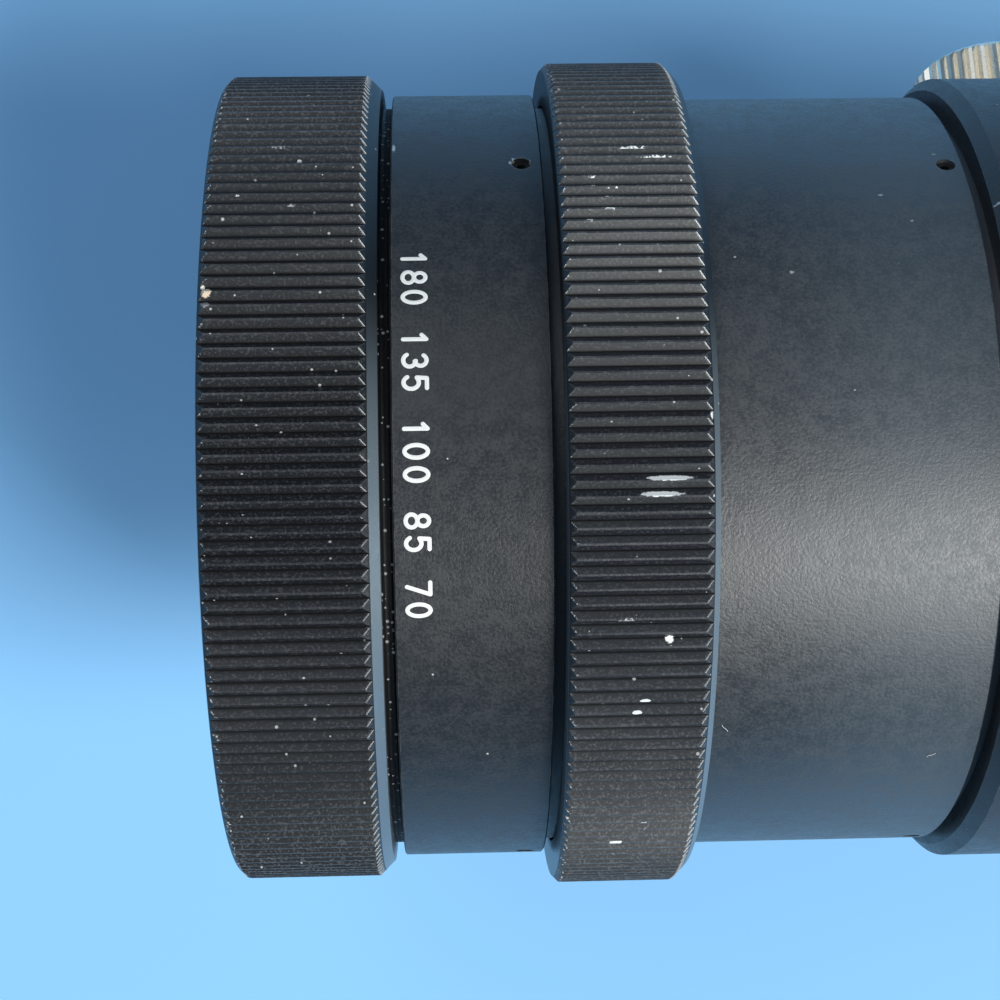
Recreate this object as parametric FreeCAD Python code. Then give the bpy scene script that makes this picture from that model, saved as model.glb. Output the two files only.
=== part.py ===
import FreeCAD, Part
import math
import os

# Telephoto zoom lens, in millimetres.
# X is the optical axis. The origin is the centre of the camera mount flange,
# the front of the lens points to -X, and +Z is up. The lens rests on the foot
# of its tripod collar.

V = FreeCAD.Vector
os.makedirs("parts", exist_ok=True)

# Overall stations along the axis
overall_length = 240.0
front_x = -overall_length

# Focus ring, the knurled ring at the front
focus_ring_rise = 2.14
focus_ring_width = 16.2
focus_front_chamfer = 0.7
focus_rear_chamfer = 1.55
focus_teeth = 198
focus_travel = 6.0
focus_turn_deg = 240.0
focus_lip_inset = 2.7
focus_lip_width = 1.5

# Knurl form, shared by both grip rings
knurl_depth = 0.62
knurl_crest = 0.16

# Front cell with its filter thread
filter_wall = 2.95
filter_depth = 4.5
cell_step = 0.35
cell_flange_step = 2.28
cell_flange_width = 2.0
cell_inset = 0.6
cell_length = 26.4
cell_bore_step = 1.4
cell_rear_step = 2.2
key_width = 5.0
key_depth = 1.4
key_length = 3.0
key_inset = 5.0
key_stem_radius = 1.4
retainer_width = 1.4
bezel_depth = 2.4
bezel_step = 0.5
front_glass_edge = 3.0
spacer_length = 6.0
spacer_wall = 1.2

# Narrow shelf inside a cell that a glass rests on
shelf_width = 2.0

# Front barrel
front_barrel_radius = 41.74
front_barrel_gap = 1.17
front_barrel_length = 14.69
neck_step = 1.34
neck_engagement = 5.0
spigot_step = 0.1
spigot_length = 4.4
tube_flange_step = 1.4
tube_flange_width = 4.0
tube_flange_inset = 4.0

# Zoom ring, the second knurled ring
zoom_ring_rise = 3.26
zoom_ring_width = 13.66
zoom_ring_gap = 1.08
zoom_front_chamfer = 0.65
zoom_rear_chamfer = 1.2
zoom_teeth = 202
zoom_turn_deg = 90.0
zoom_web_width = 4.5
zoom_front_recess = 4.2

# Guide tube and cam barrel
guide_step = 5.7
guide_wall = 2.0
cam_wall = 2.0
variator_travel = 32.0
compensator_travel = 5.0
roller_radius = 2.2
roller_count = 3
roller_sink = 0.8

# Cells that slide in the guide tube
variator_gap = 11.94
variator_length = 22.0
compensator_gap = 6.0
compensator_length = 14.0
cell_wall = 3.0
glass_land = 2.4
sliding_glass_edge = 6.0
glass_ring_width = 2.0
glass_ring_wall = 1.5

# Main barrel, cover sleeve and collar seat
cover_step = 0.65
cover_wall = 1.74
cover_front_lap = 4.0
cover_show_length = 26.5
cover_screw_inset = 1.7
main_bore_gap = 0.6
main_end_gap = 5.0
main_web_width = 4.0

# Tripod collar
collar_rise = 1.96
collar_gap = 1.3
collar_width = 29.6
collar_chamfer = 1.2
boss_radius = 6.8
boss_rise = 0.85
knob_angle_deg = 22.6
knob_radius = 8.85
knob_height = 6.5
knob_teeth = 40
knob_lift = 0.6
knob_cap = 2.4
knob_knurl_depth = 0.5
knob_knurl_crest = 0.45
knob_dish_depth = 0.5
knob_rim_width = 2.6
knob_travel = 1.0
knob_bevel = 0.7
stud_radius = 3.0
pad_radius = 2.7
pad_length = 1.8

# Foot
foot_bottom_z = -62.0
foot_plate_height = 8.0
foot_length = 78.0
foot_width = 36.0
foot_overhang = 0.6
foot_corner = 6.0
foot_stem_length = 25.0
foot_stem_width = 30.0
foot_screw_radius = 2.5
foot_screw_spread = 18.0
foot_screw_grip = 6.0
foot_screw_head = 4.2
foot_head_height = 4.0
foot_head_recess = 0.5
foot_hexagon_radius = 2.0
foot_hexagon_depth = 2.1
socket_radius = 2.55
socket_depth = 6.5
socket_inset = 40.0

# Collar retaining ring
nut_step = 0.09
nut_width = 2.6

# Rear barrel
rear_step = 0.49
rear_shoulder_length = 24.0
rear_body_step = 4.6
rear_body_end_x = -56.0
rear_taper = 10.0
rear_neck_step = 5.0
rear_neck_x = -40.0
rear_wall = 2.0
rear_neck_wall = 2.5
rear_neck_end_x = -18.0

# Aperture ring
aperture_rise = 4.5
aperture_width = 18.6
aperture_turn_deg = 30.0
aperture_scallops = 36
scallop_radius = 2.2
scallop_depth = 0.7
aperture_bevel = 1.0

# Iris
iris_gap = 8.0
iris_plate = 2.0
iris_hole_step = 0.4
blade_count = 7
blade_thickness = 0.2
blade_pitch = 0.28
blade_width = 5.4
blade_step = 2.4
blade_sweep_deg = 88.0
blade_lobe = 2.0
pivot_step = 3.8
drive_pin_step = 3.4
drive_pin_lead_deg = 5.0
pin_radius = 0.7
pin_clearance = 0.08
iris_ratio = 1.2
drive_ring_thickness = 1.4
drive_ring_step = 2.4
iris_lip_step = 1.0
iris_lip_width = 1.5
iris_nut_width = 1.6

# Bar and screw that link the aperture ring to the iris
link_x = -30.0
link_screw_radius = 1.6
link_deg = 90.0
link_thickness = 2.0
link_width = 6.0

# Relay group and mount
relay_wall = 1.8
relay_web_inset = 4.0
relay_web_width = 3.0
relay_end_x = -14.0
mount_base_rise = 2.0
mount_ring_thickness = 3.0
bayonet_step = 2.0
bayonet_length = 5.4
bayonet_wall = 3.0
lug_rise = 1.6
lug_thickness = 1.5
lug_gap = 1.6
lug_span_deg = 50.0
mount_screw_count = 4
mount_screw_inset = 4.8
mount_screw_radius = 1.0
mount_screw_head = 1.7
mount_head_depth = 1.3
mount_screw_sink = 0.2
mount_screw_grip = 4.5
cross_arm = 0.9
cross_span = 2.0
cross_depth = 0.7
relay_edges = (3.5, 3.0, 3.0)
relay_spacer_wall = 1.2
relay_front_inset = 4.0
relay_middle_inset = 30.0
relay_rear_inset = 7.0

# Clearances
run_clearance = 0.05
slide_clearance = 0.08
slot_clearance = 0.12
slot_waist = 0.03
face_gap = 0.1
set_screw_radius = 0.95
set_screw_depth = 0.45
screw_count = 3
zoom_screw_count = 2
zoom_screw_deg = -8.0


def angle_point(x, radius, degrees):
    a = math.radians(degrees)
    return V(x, radius * math.cos(a), radius * math.sin(a))


def cylinder(x0, x1, radius):
    return Part.makeCylinder(radius, x1 - x0, V(x0, 0, 0), V(1, 0, 0))


def tube(x0, x1, outer, inner):
    return cylinder(x0, x1, outer).cut(cylinder(x0 - 1, x1 + 1, inner))


def turned(points):
    """Turn a closed outline of (x, radius) points about the optical axis."""
    corners = [V(x, radius, 0) for x, radius in points]
    wire = Part.makePolygon(corners + [corners[0]])
    return Part.Face(wire).revolve(V(0, 0, 0), V(1, 0, 0), 360)


def spoke(x, degrees, radius, start, end):
    """A round rod on a spoke of the axis, from one radius to another."""
    foot = angle_point(x, start, degrees)
    direction = angle_point(0, 1, degrees)
    return Part.makeCylinder(radius, end - start, foot, direction)


def place(shape, x, degrees):
    shape.rotate(V(0, 0, 0), V(1, 0, 0), degrees)
    shape.translate(V(x, 0, 0))
    return shape


def lens(x0, radius, edge, bulge_front, bulge_rear):
    """A glass element with a flat land at its rim: a positive bulge stands out, a negative one is hollow."""
    x1 = x0 + edge
    clear = radius - glass_land
    top_front = V(x0, clear, 0)
    top_rear = V(x1, clear, 0)
    rear_pole = V(x1 + bulge_rear, 0, 0)
    front_pole = V(x0 - bulge_front, 0, 0)

    def face_point(at, bulge, side):
        ball = (clear ** 2 + bulge ** 2) / (2 * abs(bulge))
        half = clear / 2
        sag = math.sqrt(ball ** 2 - half ** 2) - (ball - abs(bulge))
        return V(at + side * math.copysign(sag, bulge), half, 0)

    edges = [
        Part.makeLine(top_front, V(x0, radius, 0)),
        Part.makeLine(V(x0, radius, 0), V(x1, radius, 0)),
        Part.makeLine(V(x1, radius, 0), top_rear),
        Part.Arc(top_rear, face_point(x1, bulge_rear, 1), rear_pole).toShape(),
        Part.makeLine(rear_pole, front_pole),
        Part.Arc(front_pole, face_point(x0, bulge_front, -1), top_front).toShape(),
    ]
    return Part.Face(Part.Wire(edges)).revolve(V(0, 0, 0), V(1, 0, 0), 360)


def knurled_bar(x0, x1, radius, teeth, depth, crest):
    """A bar with straight V grooves all round, crests on the given radius."""
    step = 2 * math.pi / teeth
    half_crest = crest / (2 * radius)
    corners = []
    for i in range(teeth):
        a = i * step
        for angle, r in ((a - half_crest, radius), (a + half_crest, radius), (a + step / 2, radius - depth)):
            corners.append(V(x0, r * math.cos(angle), r * math.sin(angle)))
    wire = Part.makePolygon(corners + [corners[0]])
    return Part.Face(wire).extrude(V(x1 - x0, 0, 0))


def grip(x0, x1, radius, teeth, chamfers):
    """A knurled ring blank: the grooves run out into the chamfer at each end."""
    front_chamfer, rear_chamfer = chamfers
    bar = knurled_bar(x0, x1, radius, teeth, knurl_depth, knurl_crest)
    over = 1.0
    envelope = turned([
        (x0, 0),
        (x0, radius - front_chamfer),
        (x0 + front_chamfer + over, radius + over),
        (x1 - rear_chamfer - over, radius + over),
        (x1, radius - rear_chamfer),
        (x1, 0),
    ])
    return bar.common(envelope)


def union(shapes):
    whole = shapes[0]
    for shape in shapes[1:]:
        whole = whole.fuse(shape)
    return whole.removeSplitter()


def set_screws(x, seat, surface, first_deg, count):
    """Headless screws, sunk below the surface and seated on the piece beneath."""
    screws = []
    for i in range(count):
        a = first_deg + i * 360 / count
        screw = spoke(x, a, set_screw_radius, seat, surface - set_screw_depth)
        socket = spoke(x, a, set_screw_radius / 2, surface - 2 * set_screw_depth, surface)
        screws.append(screw.cut(socket))
    return Part.makeCompound(screws)


def set_screw_holes(body, x, inner, outer, first_deg, count):
    """Three radial holes for headless screws, from just below one radius to past another."""
    for i in range(count):
        a = first_deg + i * 360 / count
        body = body.cut(spoke(x, a, set_screw_radius, inner - 0.3, outer + 1))
    return body


def roller_tracks(make_track):
    """Every track that a roller runs in: where it starts, its travel and its place round the axis."""
    tracks = []
    variator_mid = variator_x + variator_length / 2
    compensator_mid = compensator_x + compensator_length / 2
    starts = ((variator_mid, variator_travel, 0), (compensator_mid, compensator_travel, 180 / roller_count))
    for start, travel, first in starts:
        for i in range(roller_count):
            tracks += make_track(start, travel, first + i * 360 / roller_count)
    return tracks


def export(name, shape):
    if shape.ShapeType == "Compound" and len(shape.Solids) == 1:
        shape = shape.Solids[0]
    shape.exportStep("parts/" + name + ".step")
    print(name, "solids", len(shape.Solids), "valid", shape.isValid(), "mm3", round(shape.Volume, 1))


# Radii worked out from the front barrel's
focus_ring_radius = front_barrel_radius + focus_ring_rise
zoom_ring_radius = front_barrel_radius + zoom_ring_rise
neck_radius = front_barrel_radius - neck_step
spigot_radius = neck_radius - spigot_step
tube_flange_radius = spigot_radius - tube_flange_step
cell_radius = tube_flange_radius - cell_step
cell_flange_radius = focus_ring_radius - cell_flange_step
cell_bore_radius = cell_radius + run_clearance
filter_radius = cell_radius - filter_wall
bezel_radius = filter_radius - bezel_step
cell_bore = filter_radius - cell_bore_step
cell_rear_bore = cell_bore - cell_rear_step
guide_radius = tube_flange_radius - guide_step
guide_inner = guide_radius - guide_wall
sliding_radius = guide_inner - run_clearance
cam_inner = guide_radius + slide_clearance
cam_outer = cam_inner + cam_wall
main_bore = cam_outer + main_bore_gap
cover_radius = front_barrel_radius - cover_step
seat_radius = cover_radius - cover_wall
cover_screw_seat = seat_radius - 0.5
collar_radius = cover_radius + collar_rise
boss_height = collar_radius + boss_rise
nut_radius = cover_radius - nut_step
rear_radius = cover_radius - rear_step
rear_body_radius = rear_radius - rear_body_step
rear_bore = rear_body_radius - rear_wall
drive_ring_radius = rear_bore - drive_ring_step
iris_lip_radius = drive_ring_radius - iris_lip_step
drive_pin_radius_at = drive_ring_radius - drive_pin_step
link_outer = drive_pin_radius_at
pivot_ring_radius = drive_pin_radius_at - pivot_step
blade_outer = pivot_ring_radius - blade_step
blade_inner = blade_outer - blade_width
iris_hole = blade_inner + iris_hole_step
rear_neck_radius = rear_body_radius - rear_neck_step
neck_bore = rear_neck_radius - rear_neck_wall
aperture_radius = rear_neck_radius + aperture_rise
relay_radius = pivot_ring_radius
mount_ring_radius = rear_neck_radius
mount_base_radius = mount_ring_radius + mount_base_rise
bayonet_radius = relay_radius - bayonet_step
bayonet_bore = bayonet_radius - bayonet_wall
lug_radius = bayonet_radius + lug_rise
mount_screw_circle = bayonet_radius + mount_screw_inset

# Places along the axis, worked out from the front
focus_rear_x = front_x + focus_ring_width
barrel_front_x = focus_rear_x + front_barrel_gap
barrel_rear_x = barrel_front_x + front_barrel_length
zoom_front_x = barrel_rear_x + zoom_ring_gap
zoom_rear_x = zoom_front_x + zoom_ring_width
cell_front_x = front_x + cell_inset
cell_rear_x = cell_front_x + cell_length
filter_end_x = cell_front_x + filter_depth
glass_seat_x = filter_end_x + bezel_depth
lip_front_x = front_x + focus_lip_inset
lip_rear_x = lip_front_x + focus_lip_width
neck_length = focus_travel + neck_engagement
tube_front_x = barrel_rear_x - tube_flange_inset
flange_rear_x = tube_front_x + tube_flange_width
front_screw_x = tube_front_x + tube_flange_width / 2
key_x = tube_front_x - key_inset
variator_x = flange_rear_x + variator_gap
compensator_x = variator_x + variator_length + variator_travel + compensator_gap
main_end_x = compensator_x + compensator_length + compensator_travel + main_end_gap
web_x = main_end_x - main_web_width
cam_front_x = flange_rear_x + face_gap
cam_rear_x = web_x - face_gap
cover_front_x = zoom_rear_x - cover_front_lap
cover_end_x = zoom_rear_x + cover_show_length
cover_screw_x = cover_end_x - cover_screw_inset
collar_front_x = cover_end_x + collar_gap
collar_rear_x = collar_front_x + collar_width
collar_mid_x = (collar_front_x + collar_rear_x) / 2
foot_front_x = collar_front_x - foot_overhang
socket_x = foot_front_x + socket_inset
nut_front_x = collar_rear_x + face_gap
nut_rear_x = nut_front_x + nut_width
iris_x = main_end_x + iris_gap
blade_stack_x = iris_x + iris_plate + face_gap
drive_ring_x = blade_stack_x + blade_count * blade_pitch + face_gap
drive_rear_x = drive_ring_x + drive_ring_thickness
iris_rim_x = drive_rear_x + face_gap
relay_front_x = iris_rim_x + iris_lip_width
relay_web_x = rear_body_end_x - relay_web_inset

# Directions round the axis, in degrees from +Y toward +Z
knob_deg = -knob_angle_deg
screw_deg = 42.0

print("focus ring turns", focus_turn_deg, "deg and travels", focus_travel, "mm")
print("zoom ring turns", zoom_turn_deg, "deg, aperture ring", aperture_turn_deg, "deg")
print("knob travels", knob_travel, "mm a turn")


def focus_ring():
    chamfers = (focus_front_chamfer, focus_rear_chamfer)
    ring = grip(front_x, focus_rear_x, focus_ring_radius, focus_teeth, chamfers)
    ring = ring.cut(cylinder(front_x - 1, lip_front_x, cell_flange_radius + 3 * run_clearance))
    ring = ring.cut(cylinder(lip_front_x - 1, lip_rear_x + 1, cell_radius + 2 * run_clearance))
    return ring.cut(cylinder(lip_rear_x, focus_rear_x + 1, neck_radius + run_clearance))


def front_cell():
    """The cell that holds the front glass, with the filter thread's bore."""
    flange_end_x = cell_front_x + cell_flange_width
    cell = turned([
        (cell_front_x, filter_radius),
        (cell_front_x, cell_flange_radius),
        (flange_end_x, cell_flange_radius),
        (flange_end_x, cell_radius),
        (cell_rear_x, cell_radius),
        (cell_rear_x, cell_rear_bore),
        (cell_rear_x - shelf_width, cell_rear_bore),
        (cell_rear_x - shelf_width, cell_bore),
        (glass_seat_x, cell_bore),
        (glass_seat_x, bezel_radius),
        (filter_end_x, bezel_radius),
        (filter_end_x, filter_radius),
    ])
    return cell.cut(key_slot())


def key_slot():
    """The straight slot in the cell that keeps it from turning as it travels."""
    x0 = key_x - slot_clearance
    x1 = cell_rear_x + 1
    width = key_width + 2 * slot_clearance
    return Part.makeBox(x1 - x0, width, key_depth + 1, V(x0, -width / 2, cell_radius - key_depth))


def cell_retainer():
    """The ring on the cell behind the focus ring's lip."""
    x0 = lip_rear_x + face_gap
    return tube(x0, x0 + retainer_width, neck_radius - 0.3, cell_radius)


def cell_key():
    bottom = cell_radius - key_depth + slot_clearance
    block = Part.makeBox(key_length, key_width, key_depth, V(key_x, -key_width / 2, bottom))
    stem = Part.makeCylinder(key_stem_radius, 2.4, V(key_x + key_length / 2, 0, cell_radius - 0.2))
    return block.fuse(stem).common(cylinder(key_x - 1, key_x + key_length + 1, front_barrel_radius - 0.3))


def front_barrel():
    barrel = turned([
        (barrel_front_x - neck_length, cell_bore_radius),
        (barrel_front_x - neck_length, neck_radius),
        (barrel_front_x, neck_radius),
        (barrel_front_x, front_barrel_radius - 0.15),
        (barrel_front_x + 0.15, front_barrel_radius),
        (barrel_rear_x - 0.15, front_barrel_radius),
        (barrel_rear_x, front_barrel_radius - 0.15),
        (barrel_rear_x, spigot_radius),
        (barrel_rear_x + spigot_length, spigot_radius),
        (barrel_rear_x + spigot_length, tube_flange_radius),
        (tube_front_x, tube_flange_radius),
        (tube_front_x, cell_bore_radius),
    ])
    barrel = set_screw_holes(barrel, front_screw_x, tube_flange_radius, front_barrel_radius, screw_deg, screw_count)
    return barrel.cut(cell_key())


def guide_tube():
    """The fixed inner tube. Its straight slots steer the sliding cells."""
    body = turned([
        (tube_front_x, guide_inner),
        (tube_front_x, tube_flange_radius),
        (flange_rear_x, tube_flange_radius),
        (flange_rear_x, guide_radius),
        (main_end_x, guide_radius),
        (main_end_x, guide_inner),
    ])
    for slot in roller_tracks(straight_slot):
        body = body.cut(slot)
    return body


def straight_slot(start, travel, degrees):
    half = roller_radius + slot_clearance
    bottom = guide_inner - guide_wall
    depth = 2 * guide_wall + 2
    box = Part.makeBox(travel, 2 * half, depth, V(start, -half, bottom))
    ends = [Part.makeCylinder(half, depth, V(start + shift, 0, bottom), V(0, 0, 1)) for shift in (0, travel)]
    return [place(union([box] + ends), 0, degrees - 90)]


def helical_slot(start, travel, degrees):
    """A slot that runs round the cam barrel as it runs along it."""
    half = roller_radius + slot_clearance
    side_half = half - slot_waist
    pitch = travel * 360 / zoom_turn_deg
    middle = (cam_inner + cam_outer) / 2
    depth = cam_wall + 2
    path = Part.makeHelix(pitch, travel, middle, 0, True)
    lead = V(0, -2 * math.pi * middle, pitch).normalize()
    side = lead.cross(V(1, 0, 0)).normalize()
    corners = []
    for across, out in ((-1, -1), (1, -1), (1, 1), (-1, 1)):
        corners.append(V(middle, 0, 0) + side * (across * side_half) + V(out * depth / 2, 0, 0))
    profile = Part.makePolygon(corners + [corners[0]])
    sweep = Part.BRepOffsetAPI.MakePipeShell(Part.Wire(path.Edges))
    sweep.setBiNormalMode(V(0, 0, 1))
    sweep.add(profile)
    sweep.build()
    sweep.makeSolid()
    slot = sweep.shape()
    slot.rotate(V(0, 0, 0), V(0, 1, 0), 90)
    slot = place(slot, start, degrees + 90)
    ends = [
        spoke(start, degrees, half, middle - depth / 2, middle + depth / 2),
        spoke(start + travel, degrees - zoom_turn_deg, half, middle - depth / 2, middle + depth / 2),
    ]
    return [slot] + ends


def cam_barrel():
    body = tube(cam_front_x, cam_rear_x, cam_outer, cam_inner)
    for piece in roller_tracks(helical_slot):
        body = body.cut(piece)
    return body


def zoom_ring():
    chamfers = (zoom_front_chamfer, zoom_rear_chamfer)
    ring = grip(zoom_front_x, zoom_rear_x, zoom_ring_radius, zoom_teeth, chamfers)
    web_front_x = zoom_front_x + zoom_front_recess
    web_rear_x = web_front_x + zoom_web_width
    ring = ring.cut(cylinder(zoom_front_x - 1, web_front_x, spigot_radius + 0.3))
    ring = ring.cut(cylinder(web_front_x - 1, web_rear_x + 1, cam_outer))
    ring = ring.cut(cylinder(web_rear_x, zoom_rear_x + 1, cover_radius + 0.3))
    screw_x = (web_front_x + web_rear_x) / 2
    return set_screw_holes(ring, screw_x, cam_outer, zoom_ring_radius, zoom_screw_deg, zoom_screw_count)


def zoom_ring_screws():
    screw_x = zoom_front_x + zoom_front_recess + zoom_web_width / 2
    return set_screws(screw_x, cam_outer, zoom_ring_radius - knurl_depth, zoom_screw_deg, zoom_screw_count)


def sliding_cell(x0, length, glass_radius):
    """A brass cell that runs in the guide tube and holds one glass group."""
    body = tube(x0, x0 + length, sliding_radius, glass_radius)
    shelf = tube(x0 + length - shelf_width, x0 + length, glass_radius + 0.5, glass_radius - glass_ring_wall)
    return body.fuse(shelf).removeSplitter()


def cell_rollers(x0, length, first):
    """Rollers on the cell, through the straight slots and into the helical ones."""
    rollers = []
    for i in range(roller_count):
        a = first + i * 360 / roller_count
        foot = sliding_radius - roller_sink
        rollers.append(spoke(x0 + length / 2, a, roller_radius, foot, cam_outer - face_gap))
    return Part.makeCompound(rollers)


def seat_flat(cell, x0, length, first):
    """Round seats that let the rollers stand on the cell's round wall."""
    for i in range(roller_count):
        a = first + i * 360 / roller_count
        seat = sliding_radius - roller_sink
        cell = cell.cut(spoke(x0 + length / 2, a, roller_radius, seat, sliding_radius + 1))
    return cell


def main_barrel():
    body = turned([
        (cover_front_x + 0.4, main_bore),
        (cover_front_x + 0.4, seat_radius),
        (main_end_x, seat_radius),
        (main_end_x, guide_radius),
        (web_x, guide_radius),
        (web_x, main_bore),
    ])
    return set_screw_holes(body, cover_screw_x, cover_screw_seat, seat_radius, screw_deg, screw_count)


def cover_sleeve():
    edge = 0.15
    sleeve = turned([
        (cover_front_x, seat_radius),
        (cover_front_x, cover_radius - edge),
        (cover_front_x + edge, cover_radius),
        (cover_end_x - edge, cover_radius),
        (cover_end_x, cover_radius - edge),
        (cover_end_x, seat_radius),
    ])
    return set_screw_holes(sleeve, cover_screw_x, seat_radius, cover_radius, screw_deg, screw_count)


def foot_boss():
    """The block under the collar that the foot is screwed to."""
    top = -(collar_radius - 3.0)
    height = top - (foot_bottom_z + foot_plate_height)
    x0 = collar_mid_x - foot_stem_length / 2
    return Part.makeBox(
        foot_stem_length, foot_stem_width, height,
        V(x0, -foot_stem_width / 2, foot_bottom_z + foot_plate_height))


def tripod_collar():
    bore = seat_radius + run_clearance
    c = collar_chamfer
    ring = turned([
        (collar_front_x, 0),
        (collar_front_x, collar_radius - c),
        (collar_front_x + c, collar_radius),
        (collar_rear_x - c, collar_radius),
        (collar_rear_x, collar_radius - c),
        (collar_rear_x, 0),
    ])
    knob_boss = spoke(collar_mid_x, knob_deg, boss_radius, seat_radius, boss_height)
    ring = union([ring, foot_boss(), knob_boss])
    ring = ring.cut(cylinder(collar_front_x - 1, collar_rear_x + 1, bore))
    ring = ring.cut(spoke(collar_mid_x, knob_deg, stud_radius, seat_radius - 2, boss_height + 1))
    for x, y in foot_screw_places():
        hole_at = V(x, y, foot_bottom_z + foot_plate_height)
        ring = ring.cut(Part.makeCylinder(foot_screw_radius, foot_screw_grip, hole_at))
    return ring


def foot_screw_places():
    half_x = foot_stem_length / 2 - 5.0
    half_y = foot_screw_spread / 2
    return [(collar_mid_x + sx * half_x, sy * half_y) for sx in (-1, 1) for sy in (-1, 1)]


def rounded_plate(x0, length, width, z0, height, corner):
    box = Part.makeBox(length, width, height, V(x0, -width / 2, z0))
    upright = [e for e in box.Edges if abs(e.Vertexes[0].Z - e.Vertexes[1].Z) > height / 2]
    return box.makeFillet(corner, upright)


def collar_foot():
    plate = rounded_plate(
        foot_front_x, foot_length, foot_width, foot_bottom_z, foot_plate_height, foot_corner)
    rim = [e for e in plate.Edges if all(abs(v.Z - foot_bottom_z) < 0.01 for v in e.Vertexes)]
    plate = plate.makeChamfer(0.8, rim)
    plate = plate.cut(Part.makeCylinder(socket_radius, socket_depth, V(socket_x, 0, foot_bottom_z)))
    head_room = foot_head_recess + foot_head_height
    for x, y in foot_screw_places():
        at = V(x, y, foot_bottom_z)
        plate = plate.cut(Part.makeCylinder(foot_screw_radius, foot_plate_height + 1, at))
        plate = plate.cut(Part.makeCylinder(foot_screw_head, head_room, at))
    return plate


def foot_screws():
    """Socket head screws, sunk in the foot and threaded up into the collar."""
    screws = []
    head_z = foot_bottom_z + foot_head_recess
    end_z = foot_bottom_z + foot_plate_height + foot_screw_grip - foot_head_recess
    for x, y in foot_screw_places():
        head = Part.makeCylinder(foot_screw_head, foot_head_height, V(x, y, head_z))
        shank = Part.makeCylinder(foot_screw_radius, end_z - head_z, V(x, y, head_z))
        corners = []
        for k in range(7):
            a = math.radians(60 * k)
            across = V(foot_hexagon_radius * math.cos(a), foot_hexagon_radius * math.sin(a), 0)
            corners.append(V(x, y, head_z) + across)
        hexagon = Part.Face(Part.makePolygon(corners)).extrude(V(0, 0, foot_hexagon_depth))
        screws.append(head.fuse(shank).removeSplitter().cut(hexagon))
    return Part.makeCompound(screws)


def lock_knob():
    """The bright knurled knob, built upright and then laid on its spoke."""
    bar = knurled_bar(0, knob_height, knob_radius, knob_teeth, knob_knurl_depth, knob_knurl_crest)
    b = knob_bevel
    envelope = turned([
        (0, 0), (0, knob_radius - b), (b + 1, knob_radius + 1),
        (knob_height - b - 1, knob_radius + 1), (knob_height, knob_radius - b), (knob_height, 0),
    ])
    dish = cylinder(knob_height - knob_dish_depth, knob_height + 1, knob_radius - knob_rim_width)
    bore = cylinder(-1, knob_height - knob_cap, stud_radius - run_clearance)
    knob = bar.common(envelope).cut(dish).cut(bore)
    return on_spoke(knob, boss_height + knob_lift)


def on_spoke(shape, radius):
    """Lay a piece that stands on X=0 along the knob's spoke, at a radius."""
    shape.rotate(V(0, 0, 0), V(0, 0, 1), 90)
    shape.translate(V(0, radius, 0))
    return place(shape, collar_mid_x, knob_deg)


def lock_stud():
    start = seat_radius + pad_length + 2 * face_gap
    end = boss_height + knob_lift + knob_height - knob_cap
    return spoke(collar_mid_x, knob_deg, stud_radius - run_clearance, start, end)


def pressure_pad():
    pad = spoke(collar_mid_x, knob_deg, pad_radius, seat_radius - 1, seat_radius + pad_length + face_gap)
    return pad.cut(cylinder(collar_front_x, collar_rear_x, seat_radius + 2 * run_clearance))


def collar_nut():
    ring = tube(nut_front_x, nut_rear_x, nut_radius, seat_radius)
    notch_depth = 0.9
    for i in range(6):
        notch = Part.makeBox(nut_width - 1.0, 3.0, 3.0, V(nut_front_x + 1.0, -1.5, nut_radius - notch_depth))
        ring = ring.cut(place(notch, 0, i * 60))
    return ring


def rear_barrel():
    x0 = nut_rear_x + 0.2
    x1 = x0 + rear_shoulder_length
    body = turned([
        (x0, seat_radius),
        (x0, rear_radius - 0.4),
        (x0 + 0.4, rear_radius),
        (x1, rear_radius),
        (x1 + 6.0, rear_body_radius),
        (rear_body_end_x, rear_body_radius),
        (rear_body_end_x + rear_taper, rear_neck_radius + 2.0),
        (rear_neck_x, rear_neck_radius + 2.0),
        (rear_neck_x, rear_neck_radius),
        (rear_neck_end_x, rear_neck_radius),
        (rear_neck_end_x, neck_bore),
        (rear_neck_x - 2.0, neck_bore),
        (rear_neck_x - 8.0, rear_bore - 4.0),
        (relay_web_x + relay_web_width, rear_bore - 1.0),
        (relay_web_x + relay_web_width, relay_radius),
        (relay_web_x, relay_radius),
        (relay_web_x, rear_bore - 1.0),
        (iris_rim_x + iris_lip_width, rear_bore - 1.0),
        (iris_rim_x + iris_lip_width, iris_lip_radius),
        (iris_rim_x, iris_lip_radius),
        (iris_rim_x, rear_bore),
        (main_end_x, rear_bore),
        (main_end_x, seat_radius),
    ])
    return body.cut(link_slot()).cut(link_path())


def link_slot():
    """The slot round the neck that lets the aperture ring reach the iris."""
    half = link_screw_radius + slot_clearance
    width = math.degrees(half / rear_neck_radius) + 1.0
    arc = tube(link_x - half, link_x + half, rear_neck_radius + 1, neck_bore - 1)
    return arc.common(wedge(link_deg - width, link_deg + aperture_turn_deg + width, link_x - 5, 10))


def wedge(first_deg, last_deg, x0, length):
    """A sector of the axis, for parts that run only some way round it."""
    reach = 120.0
    middle_deg = (first_deg + last_deg) / 2
    corners = [V(x0, 0, 0)] + [angle_point(x0, reach, a) for a in (first_deg, middle_deg, last_deg)]
    return Part.Face(Part.makePolygon(corners + [corners[0]])).extrude(V(length, 0, 0))


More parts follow.
